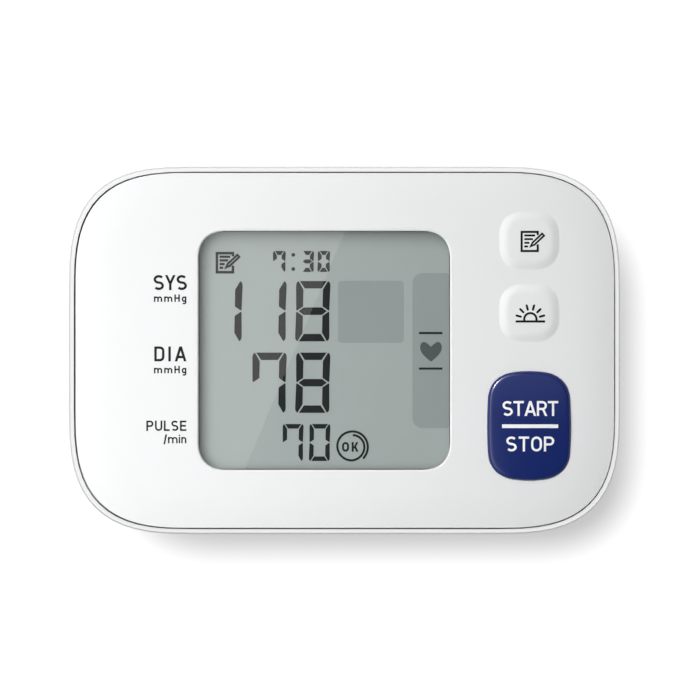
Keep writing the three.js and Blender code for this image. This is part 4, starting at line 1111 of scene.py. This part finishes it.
# Stitching, each row on the body that its cloth rides on
cross_stitches(seams, hinge_path, TAPE_SEAM)
cross_stitches(flap_seams, hinge_path, hinge_path[-1][2] - TAPE_SEAM)
cross_stitches(flap_seams, fold_path, TAPE_SEAM)
cross_stitches(tab_seams, fold_path, fold_path[-1][2] - TAPE_SEAM)
for name, shape, body in (
    ("cuff_stitching", seams, "monitor"), ("flap_stitching", flap_seams, "cuff_flap"),
    ("tab_stitching", tab_seams, "cuff_tab"),
):
    build(name, shape, thread, body, split=ROUND_SPLIT)

# Stage, light and camera; lengths from here on are in metres
CAMERA_HEIGHT, CAMERA_X, CAMERA_Y = 1.0, 0.0009, 0.00007
SENSOR, FRAME_WIDTH, CLIP_NEAR, CLIP_FAR = 36.0, 0.1142, 0.01, 20.0
FLOOR_HALF, FLOOR_Z = 3.0, -0.00005
FLOOR_GLOW, FLOOR_SUN, SUN_ANGLE, SUN_TARGET = 0.56, 4.6, 0.085, (0.072, -0.065, 0.0)
CARD_HEIGHT, CARD_SIZE, CARD_EDGE = 0.5, (0.06, 0.16), ((0.00007, 0.01935), (-0.0163, -0.0195))
CARD_COLOUR = (1.0, 0.97, 0.93)
SKY_LIGHT, SKY_FADE = 0.6, ((0.12, 1.0), (0.5, 0.15))


def aimed(obj, point):
    obj.rotation_euler = (Vector(point) - obj.location).to_track_quat("-Z", "Y").to_euler()


def over_face(x, y, rise):
    return (x, y, FACE * MM + rise)


def area_light(name, location, target, size, watts, lit):
    """A rectangular lamp that the camera doesn't see; it lights what its receivers say."""
    data = bpy.data.lights.new(name, "AREA")
    data.shape = "RECTANGLE"
    data.size, data.size_y = size
    data.energy = watts
    lamp = add_object(name, data)
    lamp.location = location
    aimed(lamp, target)
    lamp.visible_camera = False
    lamp.light_linking.receiver_collection = lit
    return lamp


def receivers(name, state, *objects):
    """What a lamp lights: only the given objects, or everything but them."""
    group = bpy.data.collections.new(name)
    for obj in objects:
        group.objects.link(obj)
    for entry in group.collection_objects:
        entry.light_linking.link_state = state
    return group


def shown_rays(tree):
    """1 where the camera sees a place, straight, mirrored or through glass, and 0 where it only lights."""
    rays = add_node(tree, "LightPath").outputs
    shown = rays["Is Camera Ray"]
    for kind in ("Is Glossy Ray", "Is Transmission Ray"):
        shown = math_node(tree, "MAXIMUM", shown, rays[kind])
    return shown


# A floor whose glow is seen but lights nothing, and that is clear from below
floor_mesh = bpy.data.meshes.new("floor")
floor_spots = [(x * FLOOR_HALF, y * FLOOR_HALF, FLOOR_Z) for x, y in ((-1, -1), (1, -1), (1, 1), (-1, 1))]
floor_mesh.from_pydata(floor_spots, [], [(0, 1, 2, 3)])
floor = add_object("floor", floor_mesh)
paper = surface("floor_paper", (0.1, 0.1, 0.1), 0.9, specular=0.0, spread=0.01, patch=60.0, bump=0.0)
tree = paper.node_tree
shader = tree.nodes["Principled BSDF"]
glow = math_node(tree, "MULTIPLY", shown_rays(tree), FLOOR_GLOW)
fill(tree, shader, {"Emission Color": (1.0, 1.0, 1.0, 1.0), "Emission Strength": glow})
back = add_node(tree, "NewGeometry").outputs["Backfacing"]
gone = add_node(tree, "BsdfTransparent").outputs["BSDF"]
sided = add_node(tree, "MixShader", (back, shader.outputs["BSDF"], gone)).outputs["Shader"]
fill(tree, tree.nodes["Material Output"], {"Surface": sided})
floor_mesh.materials.append(paper)

# Lamps and what each of them lights
display_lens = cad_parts["display_lens"]
case_nodes = [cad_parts[node] for node in ("back_case", "battery_cover")]
floor_only = receivers("floor_only", "INCLUDE", floor)
lens_only = receivers("lens_only", "INCLUDE", display_lens)
key_only = receivers("key_only", "INCLUDE", start_obj)
case_only = receivers("case_only", "INCLUDE", *case_nodes)
not_floor = receivers("not_floor", "EXCLUDE", floor)
not_case = receivers("not_case", "EXCLUDE", floor, *case_nodes)
face_only = receivers("face_only", "EXCLUDE", floor, display_lens, *case_nodes)

sun_data = bpy.data.lights.new("floor_sun", "SUN")
sun_data.energy = FLOOR_SUN * math.pi
sun_data.angle = SUN_ANGLE
sun = add_object("floor_sun", sun_data)
sun.location = (0, 0, 1)
aimed(sun, SUN_TARGET)
sun.light_linking.receiver_collection = floor_only

face_point = anchor((0.0, 0.0), FACE)
area_light("left_box", over_face(-0.092, -0.022, 0.17), face_point, (0.2, 0.15), 0.245, face_only)
area_light("rim_panel", over_face(-0.11, 0.14, 0.88), face_point, (0.06, 0.06), 6.7, case_only)
area_light("key_box", over_face(-0.38, 0.46, 0.62), face_point, (0.6, 0.6), 4.25, not_case)
area_light("top_panel", over_face(0.03, 0.25, 0.9), face_point, (0.5, 0.4), 0.4, not_floor)

# A lamp whose reflection runs along the upper left edge of the START key
glint = area_light("glint", over_face(-0.25, 0.23, 0.36), anchor(START, FACE), (0.12, 0.12), 4.0, key_only)
glint.visible_diffuse = False

# A pale card whose slanting edge shows as a reflection across the left of the display's lens
edge_ends = []
for x, y in CARD_EDGE:
    edge_ends.append(Vector((
        x + (x - CAMERA_X) * CARD_HEIGHT / CAMERA_HEIGHT,
        y + (y - CAMERA_Y) * CARD_HEIGHT / CAMERA_HEIGHT,
        lens_high.z * MM + CARD_HEIGHT,
    )))
edge_way = (edge_ends[0] - edge_ends[1]).normalized()
card_middle = (edge_ends[0] + edge_ends[1]) / 2 + Vector((-edge_way.y, edge_way.x, 0.0)) * CARD_SIZE[0] / 2
card = area_light("lens_card", card_middle, card_middle - Vector((0, 0, 1)), CARD_SIZE, 0.05, lens_only)
card.rotation_euler = (0.0, 0.0, math.atan2(edge_way.y, edge_way.x) - math.pi / 2)
card.data.color = CARD_COLOUR

# Surroundings that fade from pale at the horizon to dark above, and light less than they show
world = bpy.data.worlds.new("studio")
scene.world = world
world.use_nodes = True
sky = world.node_tree
height = add_node(sky, "SeparateXYZ", [add_node(sky, "TexCoord").outputs["Generated"]]).outputs["Z"]
fade = add_node(sky, "ValToRGB", [height])
for element, (position, level) in zip(fade.color_ramp.elements, SKY_FADE):
    element.position = position
    element.color = (level, level, level, 1.0)
shade = fade.outputs["Color"]
shown = sky.nodes["Background"]
fill(sky, shown, {"Color": shade})
lights = add_node(sky, "Background", {"Color": shade, "Strength": SKY_LIGHT})
both = (shown_rays(sky), lights.outputs["Background"], shown.outputs["Background"])
fill(sky, sky.nodes["World Output"], {"Surface": add_node(sky, "MixShader", both).outputs["Shader"]})

# Camera straight above the face
camera_data = bpy.data.cameras.new("camera")
camera_data.sensor_width = SENSOR
camera_data.lens = SENSOR * CAMERA_HEIGHT / FRAME_WIDTH
camera_data.clip_start, camera_data.clip_end = CLIP_NEAR, CLIP_FAR
camera = add_object("camera", camera_data)
camera.location = (CAMERA_X, CAMERA_Y, RIM_TOP * MM + CAMERA_HEIGHT)
scene.camera = camera
scene.view_settings.view_transform = "Standard"
